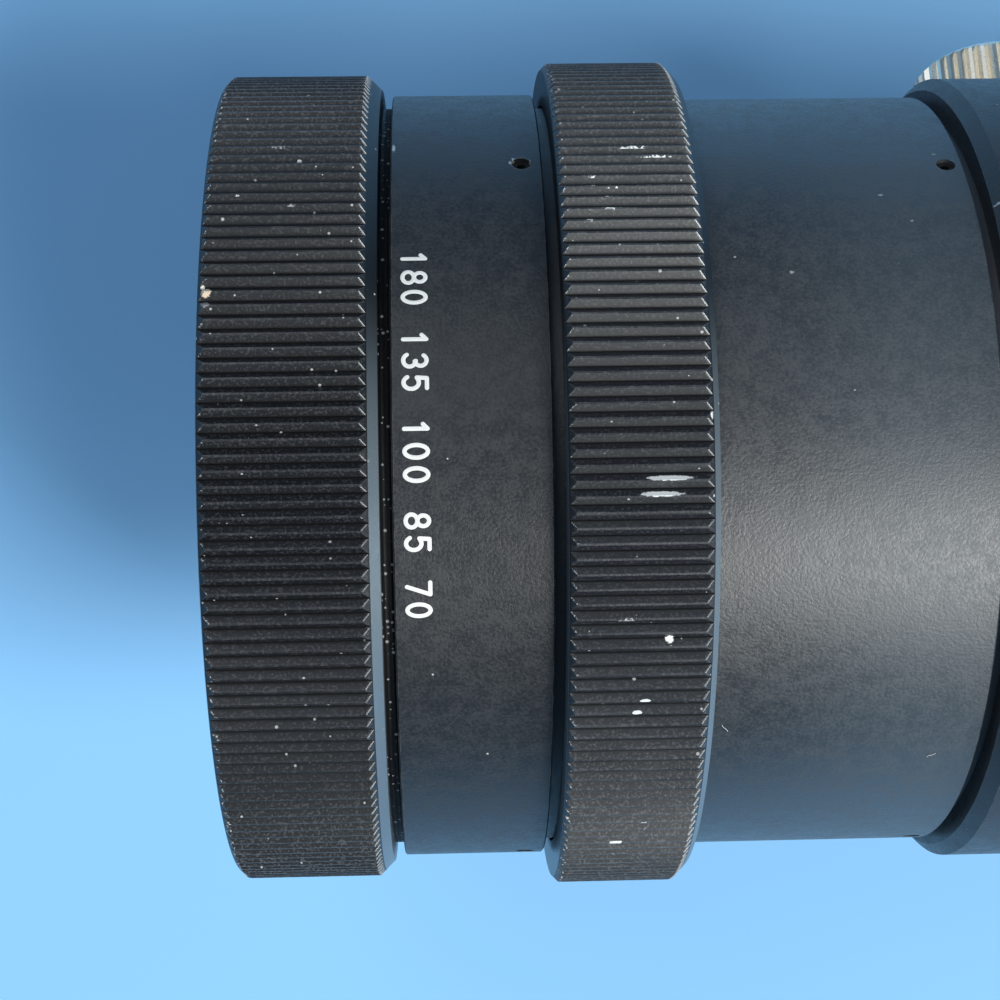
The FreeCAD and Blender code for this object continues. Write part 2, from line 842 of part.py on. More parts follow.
def aperture_ring():
    x0 = rear_neck_x + face_gap * 2
    x1 = x0 + aperture_width
    bore = rear_neck_radius + run_clearance
    b = aperture_bevel
    grip_x = x0 + 9.0
    ring = turned([
        (x0, bore),
        (x0, rear_neck_radius + 2.6),
        (grip_x - 3.0, aperture_radius - 0.9),
        (grip_x, aperture_radius),
        (x1 - b, aperture_radius),
        (x1, aperture_radius - b),
        (x1, bore),
    ])
    for i in range(aperture_scallops):
        a = i * 360 / aperture_scallops
        at = angle_point(grip_x, aperture_radius + scallop_radius - scallop_depth, a)
        ring = ring.cut(Part.makeCylinder(scallop_radius, x1 - grip_x + 1, at, V(1, 0, 0)))
    hole = spoke(link_x, link_deg, link_screw_radius, bore - 1, aperture_radius + 2)
    return ring.cut(hole)


def link_screw():
    return spoke(link_x, link_deg, link_screw_radius, link_outer, aperture_radius - 1.6)


def link_bar():
    length = link_x + 3.0 - drive_rear_x
    bottom = link_outer - link_thickness
    bar = Part.makeBox(length, link_width, link_thickness, V(drive_rear_x, -link_width / 2, bottom))
    return place(bar, 0, link_deg - 90)


def link_path():
    """Room in the relay web for the link bar as it swings."""
    x0 = relay_web_x - 1
    length = relay_web_width + 2
    room = 0.6
    arc = tube(x0, x0 + length, link_outer + room, link_outer - link_thickness - room)
    side = math.degrees(link_width / 2 / link_outer) + 2.0
    return arc.common(wedge(link_deg - side, link_deg + aperture_turn_deg + side, x0, length))


def blade_angles():
    return [i * 360 / blade_count for i in range(blade_count)]


def pin_in_ring(turn_fraction):
    """Where the drive pin stands in the drive ring's own frame, as the ring turns."""
    ring_turn = math.radians(aperture_turn_deg * turn_fraction)
    blade_turn = ring_turn * iris_ratio
    lead = math.radians(drive_pin_lead_deg)
    pin = complex(drive_pin_radius_at * math.cos(lead), drive_pin_radius_at * math.sin(lead))
    pivot = complex(pivot_ring_radius, 0)
    turned_pin = pivot + (pin - pivot) * complex(math.cos(blade_turn), math.sin(blade_turn))
    return turned_pin * complex(math.cos(-ring_turn), math.sin(-ring_turn))


def drive_slot(x0, length):
    """A curved slot through three places of the drive pin."""
    half = pin_radius + pin_clearance
    places = [pin_in_ring(f) for f in (0, 0.5, 1)]
    points = [V(x0, p.real, p.imag) for p in places]
    circle = Part.Arc(*points).toShape().Curve
    centre = circle.Center
    radius = circle.Radius
    band = Part.makeCylinder(radius + half, length, centre, V(1, 0, 0))
    band = band.cut(Part.makeCylinder(radius - half, length, centre, V(1, 0, 0)))
    reach = 4 * radius
    first = points[0] - centre
    last = points[2] - centre
    corners = [centre, centre + first * (reach / radius), centre + (first + last).normalize() * (2 * reach),
               centre + last * (reach / radius), centre]
    sector = Part.Face(Part.makePolygon(corners)).extrude(V(length, 0, 0))
    ends = [Part.makeCylinder(half, length, p, V(1, 0, 0)) for p in (points[0], points[2])]
    return [band.common(sector)] + ends


def iris_drive_ring():
    ring = tube(drive_ring_x, drive_ring_x + drive_ring_thickness, drive_ring_radius, iris_hole + 1.0)
    for a in blade_angles():
        for piece in drive_slot(drive_ring_x - 1, drive_ring_thickness + 2):
            piece = piece.copy()
            piece.rotate(V(0, 0, 0), V(1, 0, 0), a)
            ring = ring.cut(piece)
    return ring


def iris_base():
    """The fixed plate that the blades pivot on, with a rim that carries the drive ring."""
    plate = tube(iris_x, iris_x + iris_plate, rear_bore, iris_hole)
    rim = tube(iris_x, iris_rim_x, rear_bore, drive_ring_radius + run_clearance)
    base = union([plate, rim])
    for a in blade_angles():
        pivot = angle_point(iris_x - 1, pivot_ring_radius, a)
        base = base.cut(Part.makeCylinder(pin_radius + pin_clearance, iris_plate + 2, pivot, V(1, 0, 0)))
    return base


def iris_blade(index):
    """A thin curved blade with a pivot pin in front and a drive pin behind."""
    x0 = blade_stack_x + index * blade_pitch
    strip = tube(x0, x0 + blade_thickness, blade_outer, blade_inner)
    strip = strip.common(wedge(0.0, blade_sweep_deg, x0 - 1, 3))
    lobe_at = V(x0, pivot_ring_radius, 0)
    drive_at = angle_point(x0, drive_pin_radius_at, drive_pin_lead_deg)
    axis = V(1, 0, 0)
    lobe = Part.makeCylinder(blade_lobe, blade_thickness, lobe_at, axis)
    tab = Part.makeCylinder(blade_lobe - 0.6, blade_thickness, drive_at, axis)
    root = blade_inner + 3
    bridge = Part.makeBox(blade_thickness, drive_pin_radius_at - root, 2.4, V(x0, root, 0.2))
    pivot_start = iris_x + 0.2
    pivot_pin = Part.makeCylinder(pin_radius, x0 - pivot_start, V(pivot_start, lobe_at.y, lobe_at.z), axis)
    drive_pin = Part.makeCylinder(pin_radius, drive_rear_x - 0.1 - x0, drive_at, axis)
    blade = union([strip, lobe, tab, bridge, pivot_pin, drive_pin])
    blade.rotate(V(0, 0, 0), V(1, 0, 0), blade_angles()[index])
    return blade


def relay_tube():
    return tube(relay_front_x, relay_end_x, relay_radius, relay_radius - relay_wall)


def mount_base():
    x1 = -mount_ring_thickness
    base = turned([
        (rear_neck_end_x, relay_radius),
        (rear_neck_end_x, mount_base_radius),
        (x1 - 1.0, mount_base_radius),
        (x1, mount_base_radius - 1.0),
        (x1, bayonet_radius),
        (relay_end_x, bayonet_radius),
        (relay_end_x, relay_radius),
    ])
    return base.cut(mount_screw_cut(x1 - 5.0, x1 + 1))


def mount_screw_places(x):
    step = 360 / mount_screw_count
    return [angle_point(x, mount_screw_circle, 45 + i * step) for i in range(mount_screw_count)]


def mount_screw_cut(x0, x1):
    holes = [Part.makeCylinder(mount_screw_radius, x1 - x0, p, V(1, 0, 0)) for p in mount_screw_places(x0)]
    return Part.makeCompound(holes)


def bayonet_ring():
    """The bright flange with its bayonet spigot and three lugs."""
    ring = tube(-mount_ring_thickness, 0, mount_ring_radius, bayonet_bore)
    spigot = tube(-mount_ring_thickness, bayonet_length, bayonet_radius, bayonet_bore)
    lugs = []
    for i in range(3):
        lug_x = lug_gap
        lug = tube(lug_x, lug_x + lug_thickness, lug_radius, bayonet_bore)
        first = i * 120 + 20
        lugs.append(lug.common(wedge(first, first + lug_span_deg, lug_x - 1, lug_thickness + 2)))
    ring = union([ring, spigot] + lugs)
    axis = V(1, 0, 0)
    for at in mount_screw_places(-mount_ring_thickness - 1):
        ring = ring.cut(Part.makeCylinder(mount_screw_radius, mount_ring_thickness + 2, at, axis))
    for at in mount_screw_places(-mount_head_depth):
        ring = ring.cut(Part.makeCylinder(mount_screw_head, mount_head_depth + 1, at, axis))
    return ring


def mount_screws():
    """Small cross head screws that hold the bright flange to its base."""
    screws = []
    head_x = mount_screw_sink - mount_head_depth
    end_x = -mount_ring_thickness - mount_screw_grip
    for p in mount_screw_places(0):
        head = cylinder(-mount_head_depth, -mount_screw_sink, mount_screw_head)
        shank = cylinder(end_x, head_x, mount_screw_radius)
        screw = head.fuse(shank).removeSplitter()
        for width, height in ((cross_arm, cross_span), (cross_span, cross_arm)):
            corner = V(-mount_screw_sink - cross_depth, -width / 2, -height / 2)
            screw = screw.cut(Part.makeBox(cross_depth + 1, width, height, corner))
        screw.translate(V(0, p.y, p.z))
        screws.append(screw)
    return Part.makeCompound(screws)


def front_group():
    """The front glass, the ring that clamps it, and the doublet behind it."""
    export("front_glass", lens(glass_seat_x, cell_bore, front_glass_edge, 1.9, 2.6))
    bezel = turned([
        (filter_end_x, bezel_radius),
        (glass_seat_x, bezel_radius),
        (glass_seat_x, cell_bore - 1.4),
        (glass_seat_x - 1.4, cell_bore - 1.4),
        (filter_end_x, cell_bore - 0.6),
    ])
    export("front_bezel", bezel)
    spacer_x = glass_seat_x + front_glass_edge
    doublet_x = spacer_x + spacer_length
    export("front_spacer", tube(spacer_x, doublet_x, cell_bore, cell_bore - spacer_wall))
    doublet_edge = cell_rear_x - shelf_width - doublet_x
    export("front_doublet", lens(doublet_x, cell_bore, doublet_edge, -1.6, 1.4))


def relay_group():
    bore = relay_radius - relay_wall
    spacer_bore = bore - relay_spacer_wall
    front_edge, middle_edge, rear_edge = relay_edges
    first_x = relay_front_x + relay_front_inset
    second_x = relay_front_x + relay_middle_inset
    third_x = relay_end_x - relay_rear_inset
    end_ring_x = third_x + rear_edge
    export("relay_front_glass", lens(first_x, bore, front_edge, 2.4, 1.0))
    export("relay_middle_glass", lens(second_x, bore, middle_edge, -1.8, 1.2))
    export("relay_rear_glass", lens(third_x, bore, rear_edge, 1.6, 1.6))
    export("relay_front_spacer", tube(first_x + front_edge, second_x, bore, spacer_bore))
    export("relay_rear_spacer", tube(second_x + middle_edge, third_x, bore, spacer_bore))
    export("relay_end_ring", tube(end_ring_x, relay_end_x, bore, bore - shelf_width))


def sliding_groups():
    glass_radius = sliding_radius - cell_wall
    groups = (
        ("variator", variator_x, variator_length, 0, -1.8, -1.6),
        ("compensator", compensator_x, compensator_length, 60, 1.8, -1.0),
    )
    for name, x0, length, first, bulge_front, bulge_rear in groups:
        cell = seat_flat(sliding_cell(x0, length, glass_radius), x0, length, first)
        export(name + "_cell", cell)
        rollers = cell_rollers(x0, length, first)
        export(name + "_rollers", rollers)
        glass_x = x0 + length - shelf_width - sliding_glass_edge
        glass = lens(glass_x, glass_radius, sliding_glass_edge, bulge_front, bulge_rear)
        export(name + "_glass", glass)
        ring = tube(glass_x - glass_ring_width, glass_x, glass_radius, glass_radius - glass_ring_wall)
        export(name + "_ring", ring)


export("focus_ring", focus_ring())
export("front_cell", front_cell())
export("cell_retainer", cell_retainer())
export("cell_key", cell_key())
front_group()
export("front_barrel", front_barrel())
front_screws = set_screws(front_screw_x, tube_flange_radius, front_barrel_radius, screw_deg, screw_count)
export("front_barrel_set_screws", front_screws)
export("guide_tube", guide_tube())
export("cam_barrel", cam_barrel())
export("zoom_ring", zoom_ring())
export("zoom_ring_screws", zoom_ring_screws())
sliding_groups()
export("main_barrel", main_barrel())
export("cover_sleeve", cover_sleeve())
export("cover_set_screws", set_screws(cover_screw_x, cover_screw_seat, cover_radius, screw_deg, screw_count))
export("tripod_collar", tripod_collar())
export("collar_foot", collar_foot())
export("foot_screws", foot_screws())
export("lock_knob", lock_knob())
export("lock_stud", lock_stud())
export("pressure_pad", pressure_pad())
export("collar_nut", collar_nut())
export("rear_barrel", rear_barrel())
export("aperture_ring", aperture_ring())
export("link_screw", link_screw())
export("link_bar", link_bar())
export("iris_drive_ring", iris_drive_ring())
export("iris_base", iris_base())
export("iris_nut", tube(iris_x - face_gap - iris_nut_width, iris_x - face_gap, rear_bore, iris_lip_radius))
for number in range(blade_count):
    export("iris_blade_%d" % (number + 1), iris_blade(number))
export("relay_tube", relay_tube())
relay_group()
export("mount_base", mount_base())
export("bayonet_ring", bayonet_ring())
export("mount_screws", mount_screws())
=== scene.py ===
# %% [markdown]
# # Dressing a telephoto zoom lens
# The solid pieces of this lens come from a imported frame, already at their true
# size and place. This lesson gives them their finish: black anodised metal with
# worn knurls, engraved white numerals, coated glass, a bright lock knob and a
# chromed mount. The optical axis is X, the front of the lens points to -X, and
# the lens stands on the foot of its collar with +Z up.

# %% Load the frame
import math
import random
import bpy
from mathutils import Matrix, Vector


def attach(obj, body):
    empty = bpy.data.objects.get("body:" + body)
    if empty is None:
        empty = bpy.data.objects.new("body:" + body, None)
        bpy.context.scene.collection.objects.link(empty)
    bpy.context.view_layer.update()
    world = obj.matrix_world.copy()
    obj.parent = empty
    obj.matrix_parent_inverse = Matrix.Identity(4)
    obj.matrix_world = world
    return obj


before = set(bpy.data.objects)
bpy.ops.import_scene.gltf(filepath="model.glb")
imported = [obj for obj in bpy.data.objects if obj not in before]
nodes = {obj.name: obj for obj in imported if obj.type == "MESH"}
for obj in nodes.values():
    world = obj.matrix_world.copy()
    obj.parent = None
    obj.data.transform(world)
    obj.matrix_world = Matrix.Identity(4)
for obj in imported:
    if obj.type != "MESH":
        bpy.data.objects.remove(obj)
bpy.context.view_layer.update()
print("pieces in the frame:", len(nodes))

# %% [markdown]
# ## Two small helpers for building node trees
# A finish is a tree of shader nodes. Writing every link by hand hides what the
# tree does, so `add` makes one node, sets it up and plugs in whatever feeds it:
# another node's output, or a plain number or colour. `calc` is the same for the
# Math node, which the masks below use a great deal.

# %% Node helpers
def add(tree, kind, feeds=None, **settings):
    node = tree.nodes.new(kind)
    for name, value in settings.items():
        setattr(node, name, value)
    for socket, source in (feeds or {}).items():
        if isinstance(source, bpy.types.NodeSocket):
            tree.links.new(source, node.inputs[socket])
        else:
            node.inputs[socket].default_value = source
    return node


def calc(tree, operation, first, second=0.0, clamp=False):
    feeds = {0: first, 1: second}
    return add(tree, "ShaderNodeMath", feeds, operation=operation, use_clamp=clamp).outputs[0]


# %% [markdown]
# The four commonest sums get words of their own, and so does a soft step, which
# turns a measure such as a radius into a mask.

# %% Sums in words
def plus(tree, first, second):
    return calc(tree, "ADD", first, second)


def minus(tree, first, second, clamp=False):
    return calc(tree, "SUBTRACT", first, second, clamp)


def times(tree, first, second, clamp=False):
    return calc(tree, "MULTIPLY", first, second, clamp)


def ratio(tree, first, second):
    return calc(tree, "DIVIDE", first, second)


def smooth_step(tree, value, low, high):
    """0 below `low`, 1 above `high`, and a soft rise in between."""
    feeds = {"Value": value, "From Min": low, "From Max": high}
    node = add(tree, "ShaderNodeMapRange", feeds, interpolation_type="SMOOTHSTEP")
    return node.outputs["Result"]


# %% [markdown]
# ## Shader groups
# An effect that several finishes share is built once as a node group with named
# inputs and outputs, and is then dropped into each material with its own values.
# `start_group` opens such a group from two short lists of sockets.

# %% A maker of groups
def start_group(name, inputs, outputs):
    tree = bpy.data.node_groups.new(name, "ShaderNodeTree")
    kinds = {"number": "NodeSocketFloat", "colour": "NodeSocketColor", "vector": "NodeSocketVector"}
    for label, kind, value in inputs:
        socket = tree.interface.new_socket(label, in_out="INPUT", socket_type=kinds[kind])
        if value is not None:
            socket.default_value = value
    for label, kind in outputs:
        tree.interface.new_socket(label, in_out="OUTPUT", socket_type=kinds[kind])
    return tree, add(tree, "NodeGroupInput").outputs, add(tree, "NodeGroupOutput").inputs


def place_group(tree, group, feeds=None):
    return add(tree, "ShaderNodeGroup", feeds, node_tree=group).outputs


# %% [markdown]
# ### Where a point lies on a turned piece
# Nearly everything on a lens is turned on a lathe, so its marks follow the
# circle. This group turns a point into three numbers that a machinist would
# use: millimetres along the axis, millimetres out from it, and degrees round
# it from the top. Lean tells which flank of a rib the point is on: it is how far
# the surface tips round the axis. Unrolled is the surface laid out flat, and
# Place is the point itself in millimetres. The group reads the object's own
# coordinates, so the finish stays with the piece when the piece turns.

# %% Group: lathe coordinates
lathe_group, _, ends = start_group(
    "Lathe Coordinates", [],
    [("Along", "number"), ("Radius", "number"), ("Angle", "number"), ("Lean", "number"),
     ("Unrolled", "vector"), ("Place", "vector")])
mm_in_metre = (1000, 1000, 1000)
unrolled_mm_per_degree = 0.75
tree = lathe_group
own = add(tree, "ShaderNodeTexCoord").outputs
scaled = add(tree, "ShaderNodeVectorMath", {0: own["Object"], 1: mm_in_metre}, operation="MULTIPLY")
place_mm = scaled.outputs[0]
x_mm, y_mm, z_mm = add(tree, "ShaderNodeSeparateXYZ", {0: place_mm}).outputs
radius_mm = calc(tree, "SQRT", plus(tree, times(tree, y_mm, y_mm), times(tree, z_mm, z_mm)))
angle_deg = times(tree, calc(tree, "ARCTAN2", y_mm, z_mm), 180 / math.pi)
arc_mm = times(tree, angle_deg, unrolled_mm_per_degree)
unrolled = add(tree, "ShaderNodeCombineXYZ", {0: x_mm, 1: arc_mm, 2: radius_mm}).outputs[0]
_, facing_y, facing_z = add(tree, "ShaderNodeSeparateXYZ", {0: own["Normal"]}).outputs
tip = minus(tree, times(tree, facing_y, z_mm), times(tree, facing_z, y_mm))
lean = ratio(tree, tip, radius_mm)
for socket, source in (("Along", x_mm), ("Radius", radius_mm), ("Angle", angle_deg),
                       ("Lean", lean), ("Unrolled", unrolled), ("Place", place_mm)):
    tree.links.new(source, ends[socket])
print("lathe coordinates ready")

# %% [markdown]
# ### Blasted grain
# Before a barrel is anodised it is blasted with fine glass beads, which leaves
# a skin of tiny soft pits about a tenth of a millimetre across. Two sizes of
# noise give that skin: the fine one breaks up the highlight, and the coarse one
# lets the tone drift a little, as a handled surface does.

# %% Group: blasted grain
grain_group, starts, ends = start_group(
    "Blasted Grain", [("Size", "number", 0.12), ("Drift", "number", 9.0)],
    [("Grain", "number"), ("Cloud", "number")])
tree = grain_group
lathe = place_group(tree, lathe_group)
fine = add(tree, "ShaderNodeTexNoise", {
    "Vector": lathe["Place"], "Scale": ratio(tree, 1.0, starts["Size"]), "Detail": 2.0, "Roughness": 0.6})
cloud = add(tree, "ShaderNodeTexNoise", {
    "Vector": lathe["Place"], "Scale": ratio(tree, 1.0, starts["Drift"]), "Detail": 3.0, "Roughness": 0.55})
tree.links.new(fine.outputs["Fac"], ends["Grain"])
tree.links.new(cloud.outputs["Fac"], ends["Cloud"])

# %% [markdown]
# ### Turned lines
# A cutting tool leaves a very fine spiral. Noise that is stretched about eighty
# times longer round the piece than along it draws those lines, with none of
# them modelled.

# %% Group: turned lines
turned_group, starts, ends = start_group(
    "Turned Lines", [("Pitch", "number", 0.12)], [("Lines", "number")])
tree = turned_group
lathe = place_group(tree, lathe_group)
stretch = (1.0, 0.012, 1.0)
stretched = add(tree, "ShaderNodeVectorMath", {0: lathe["Unrolled"], 1: stretch}, operation="MULTIPLY")
lines = add(tree, "ShaderNodeTexNoise", {
    "Vector": stretched.outputs[0], "Detail": 2.0, "Scale": ratio(tree, 1.0, starts["Pitch"])})
tree.links.new(lines.outputs["Fac"], ends["Lines"])

# %% [markdown]
# ### Dust
# Dust shows as separate pale specks, not as a haze. A cell pattern gives one
# dot to each cell. Each cell's own random colour decides whether its dot is
# there at all and how large it is, so the specks never look like a grid.

# %% Group: dust specks
dust_group, starts, ends = start_group(
    "Dust Specks", [("Spacing", "number", 1.2), ("Share", "number", 0.25), ("Size", "number", 0.12)],
    [("Specks", "number")])
tree = dust_group
lathe = place_group(tree, lathe_group)
cells = add(tree, "ShaderNodeTexVoronoi", {
    "Vector": lathe["Place"], "Scale": ratio(tree, 1.0, starts["Spacing"])})
chance = add(tree, "ShaderNodeSeparateColor", {0: cells.outputs["Color"]}).outputs
there = calc(tree, "LESS_THAN", chance[0], starts["Share"])
reach_mm = times(tree, starts["Size"], plus(tree, chance[1], 0.25))
reach = ratio(tree, reach_mm, starts["Spacing"])
dot = minus(tree, 1.0, ratio(tree, cells.outputs["Distance"], reach), clamp=True)
solid_dot = times(tree, times(tree, dot, 3.0, clamp=True), there)
tree.links.new(solid_dot, ends["Specks"])

# %% [markdown]
# ### Worn edges
# Anodising is only a few hundredths of a millimetre thick, and it goes first
# where a hand or a bench touches: along the sharp edges. The Bevel node looks
# round each point for a nearby edge by bending the normal there. The more its
# normal differs from the true one, the closer the edge, and noise then breaks
# the wear into short lengths.

# %% Group: worn edges
edge_group, starts, ends = start_group(
    "Worn Edges", [("Width", "number", 0.0001), ("Patch Size", "number", 1.5), ("Amount", "number", 0.5)],
    [("Worn", "number")])
tree = edge_group
rounded = add(tree, "ShaderNodeBevel", {"Radius": starts["Width"]}, samples=4)
flat = add(tree, "ShaderNodeNewGeometry")
facing = add(tree, "ShaderNodeVectorMath", {0: rounded.outputs[0], 1: flat.outputs["Normal"]},
             operation="DOT_PRODUCT")
edge = smooth_step(tree, minus(tree, 1.0, facing.outputs["Value"]), 0.03, 0.22)
lathe = place_group(tree, lathe_group)
patches = add(tree, "ShaderNodeTexNoise", {
    "Vector": lathe["Place"], "Detail": 4.0, "Scale": ratio(tree, 1.0, starts["Patch Size"])})
limit = minus(tree, 1.0, starts["Amount"])
broken = smooth_step(tree, patches.outputs["Fac"], limit, plus(tree, limit, 0.12))
tree.links.new(times(tree, edge, broken), ends["Worn"])

# %% [markdown]
# ### One worn mark
# Scratches and chips lie at places of their own, so each gets a place: so many
# millimetres along the axis and so many degrees round. The group gives a soft
# oval there, with its outline torn by noise.

# %% Group: worn mark
mark_group, starts, ends = start_group(
    "Worn Mark", [("Along", "number", 0.0), ("Angle", "number", 0.0), ("Length", "number", 1.0),
                  ("Width", "number", 0.3), ("Torn", "number", 0.5)],
    [("Mark", "number")])
tree = mark_group
lathe = place_group(tree, lathe_group)
grip_mm_per_degree = 0.76
half_length = times(tree, starts["Length"], 0.5)
half_width = times(tree, starts["Width"], 0.5)
off_along = ratio(tree, minus(tree, lathe["Along"], starts["Along"]), half_length)
off_round = times(tree, minus(tree, lathe["Angle"], starts["Angle"]), grip_mm_per_degree)
off_round = ratio(tree, off_round, half_width)
squares = plus(tree, times(tree, off_along, off_along), times(tree, off_round, off_round))
away = calc(tree, "SQRT", squares)
tear = add(tree, "ShaderNodeTexNoise", {
    "Vector": lathe["Place"], "Scale": 3.1, "Detail": 4.0, "Roughness": 0.7})
ragged = times(tree, minus(tree, tear.outputs["Fac"], 0.5), times(tree, starts["Torn"], 4.0))
inside = minus(tree, minus(tree, 1.1, away), ragged)
mark = smooth_step(tree, inside, 0.0, 0.25)
tree.links.new(mark, ends["Mark"])
print("shader groups:", [g.name for g in bpy.data.node_groups])

# %% [markdown]
# ## Starting a finish
# Each finish keeps its own Principled shader, where plain numbers such as how
# metallic it is are set. What changes over the surface is linked in.
# `mix_colour` lays one tone over another by a mask, and `mix_number` does the
# same for a number.

# %% Material helpers
def start_finish(name, **plain):
    material = bpy.data.materials.new(name)
    material.use_nodes = True
    tree = material.node_tree
    shader = tree.nodes["Principled BSDF"]
    for label, value in plain.items():
        shader.inputs[label.replace("_", " ")].default_value = value
    return material, tree, shader


def mix_colour(tree, mask, under, over):
    return add(tree, "ShaderNodeMix", {0: mask, 6: under, 7: over}, data_type="RGBA").outputs[2]


def mix_number(tree, mask, under, over):
    return add(tree, "ShaderNodeMix", {0: mask, 2: under, 3: over}).outputs[0]


# %% [markdown]
# Several finishes call the same groups with plain numbers, so each group gets a
# short call. The numbers are millimetres, but a Bevel node's width is metres.
# `strongest` joins several masks into one, and `bump` turns a height into relief.

# %% Short calls for the groups
def blasted_grain(tree, size, drift):
    return place_group(tree, grain_group, {"Size": size, "Drift": drift})


def dust_specks(tree, spacing, share, size):
    return place_group(tree, dust_group, {"Spacing": spacing, "Share": share, "Size": size})["Specks"]


def worn_edges(tree, width, patch_size, amount):
    feeds = {"Width": width, "Patch Size": patch_size, "Amount": amount}
    return place_group(tree, edge_group, feeds)["Worn"]


def worn_mark(tree, along, angle, length, width, torn):
    feeds = {"Along": along, "Angle": angle, "Length": length, "Width": width, "Torn": torn}
    return place_group(tree, mark_group, feeds)["Mark"]


def strongest(tree, masks):
    whole = masks[0]
    for mask in masks[1:]:
        whole = calc(tree, "MAXIMUM", whole, mask)
    return whole


def bump(tree, shader, height, depth_mm):
    node = add(tree, "ShaderNodeBump", {"Height": height, "Distance": depth_mm / 1000})
    tree.links.new(node.outputs[0], shader.inputs["Normal"])


# %% [markdown]
# ## Barrel black
# The plain barrels are bead blasted and anodised black. The finish is a dark,
# slightly blue grey that catches a soft, grainy highlight. The tone is mottled,
# the ends show a thin bright line where the skin has worn, and a few dust specks
# rest on top. `marks` adds the chips that one piece has at places of its own.

# %% Tones of barrel black
anodised_low = (0.009, 0.0105, 0.013, 1)
anodised_high = (0.013, 0.0145, 0.017, 1)
mottle_grey = (0.040, 0.042, 0.043, 1)
painted_highlight_blue_grey = (0.052, 0.078, 0.098, 1)
gap_painted_shade = (0.002, 0.0022, 0.003, 1)
bare_metal = (0.42, 0.41, 0.38, 1)
dust_grey = (0.55, 0.55, 0.53, 1)


def bare_spots(tree, marks):
    spots = [times(tree, worn_edges(tree, 0.00012, 2.5, 0.56), 0.75)]
    for along, angle, length, width in marks:
        spots.append(worn_mark(tree, along, angle, length, width, 0.9))
    return strongest(tree, spots)


# %% [markdown]
# Two places differ from the rest. In the gap behind the front ring the barrel's
# neck is threaded and dusty, and its tone is painted near black: painted shade in
# the recess. It is too narrow to need a modelled thread, so a zigzag of height
# that moves forward with the angle stands for it. Toward the collar the sleeve is
# less glossy, and its tone is painted paler and bluer: a painted highlight.

# %% The threaded neck and the painted highlight at the collar end
def threaded_neck(tree, lathe, neck_end, tone, roughness, height, dots):
    thread_pitch = 0.6
    in_gap = calc(tree, "LESS_THAN", lathe["Along"], neck_end)
    turn = plus(tree, lathe["Along"], ratio(tree, lathe["Angle"], 360.0 / thread_pitch))
    zigzag = calc(tree, "PINGPONG", turn, thread_pitch / 2)
    # Painted shade: in the gap the neck's tone is painted near black.
    tone = mix_colour(tree, in_gap, tone, gap_painted_shade)
    roughness = plus(tree, roughness, times(tree, in_gap, 0.15))
    height = plus(tree, height, times(tree, times(tree, zigzag, 30.0), in_gap))
    flecks = dust_specks(tree, 0.5, 0.45, 0.17)
    dots = calc(tree, "MAXIMUM", dots, times(tree, flecks, in_gap))
    return tone, roughness, height, dots


def painted_collar_highlight(tree, lathe, highlight_from, tone, roughness):
    rubbed_and_sheen = smooth_step(tree, lathe["Along"], highlight_from, highlight_from + 20.0)
    # Painted highlight: toward the collar the tone is painted paler and bluer, and the sleeve is also a
    # little rougher.
    tone = mix_colour(tree, times(tree, rubbed_and_sheen, 0.3), tone, painted_highlight_blue_grey)
    return tone, plus(tree, roughness, times(tree, rubbed_and_sheen, 0.06))


# %% [markdown]
# The mottle drives three things together: where the skin is paler, it is also
# rougher and a little higher. That is why it looks like one surface.

# %% Finish: barrel black
def barrel_black(name, marks=(), dust=0.05, neck_end=None, highlight_from=None, sheen=0.5):
    material, tree, shader = start_finish(name, Specular_IOR_Level=sheen)
    lathe = place_group(tree, lathe_group)
    grain = blasted_grain(tree, 0.3, 11.0)
    skin = blasted_grain(tree, 0.13, 1.6)
    dots = dust_specks(tree, 1.7, dust, 0.11)
    mottle = plus(tree, times(tree, grain["Grain"], 0.6), times(tree, skin["Cloud"], 0.4))
    mottle = smooth_step(tree, mottle, 0.35, 0.68)
    bare = bare_spots(tree, marks)
    tone = mix_colour(tree, grain["Cloud"], anodised_low, anodised_high)
    tone = mix_colour(tree, times(tree, mottle, 0.42), tone, mottle_grey)
    tone = mix_colour(tree, bare, tone, bare_metal)
    roughness = plus(tree, times(tree, mottle, 0.16), 0.33)
    roughness = plus(tree, roughness, times(tree, grain["Cloud"], 0.05))
    height = plus(tree, times(tree, mottle, 0.7), times(tree, skin["Grain"], 0.5))
    if highlight_from is not None:
        tone, roughness = painted_collar_highlight(tree, lathe, highlight_from, tone, roughness)
    if neck_end is not None:
        tone, roughness, height, dots = threaded_neck(tree, lathe, neck_end, tone, roughness, height, dots)
    tone = mix_colour(tree, times(tree, dots, 0.8), tone, dust_grey)
    tree.links.new(tone, shader.inputs["Base Color"])
    tree.links.new(calc(tree, "MAXIMUM", roughness, times(tree, dots, 0.9)), shader.inputs["Roughness"])
    tree.links.new(times(tree, bare, 0.5), shader.inputs["Metallic"])
    bump(tree, shader, height, 0.018)
    return material


# %% [markdown]
# ## Grip black
# The two wide rings have straight ribs cut all round. Their crests meet the
# hand, so they are polished and a little grey, the valleys stay black, and the
# sharp tips at the chamfers are bright worn metal. The tips are kept only on the
# flank that faces the light, so they are partly a painted glint. That flank of
# each rib is also painted lighter: a painted highlight. A point's radius says
# whether it is on a crest or in a valley, its lean says which flank it is on, and
# its place along the axis says how close it is to a chamfer.

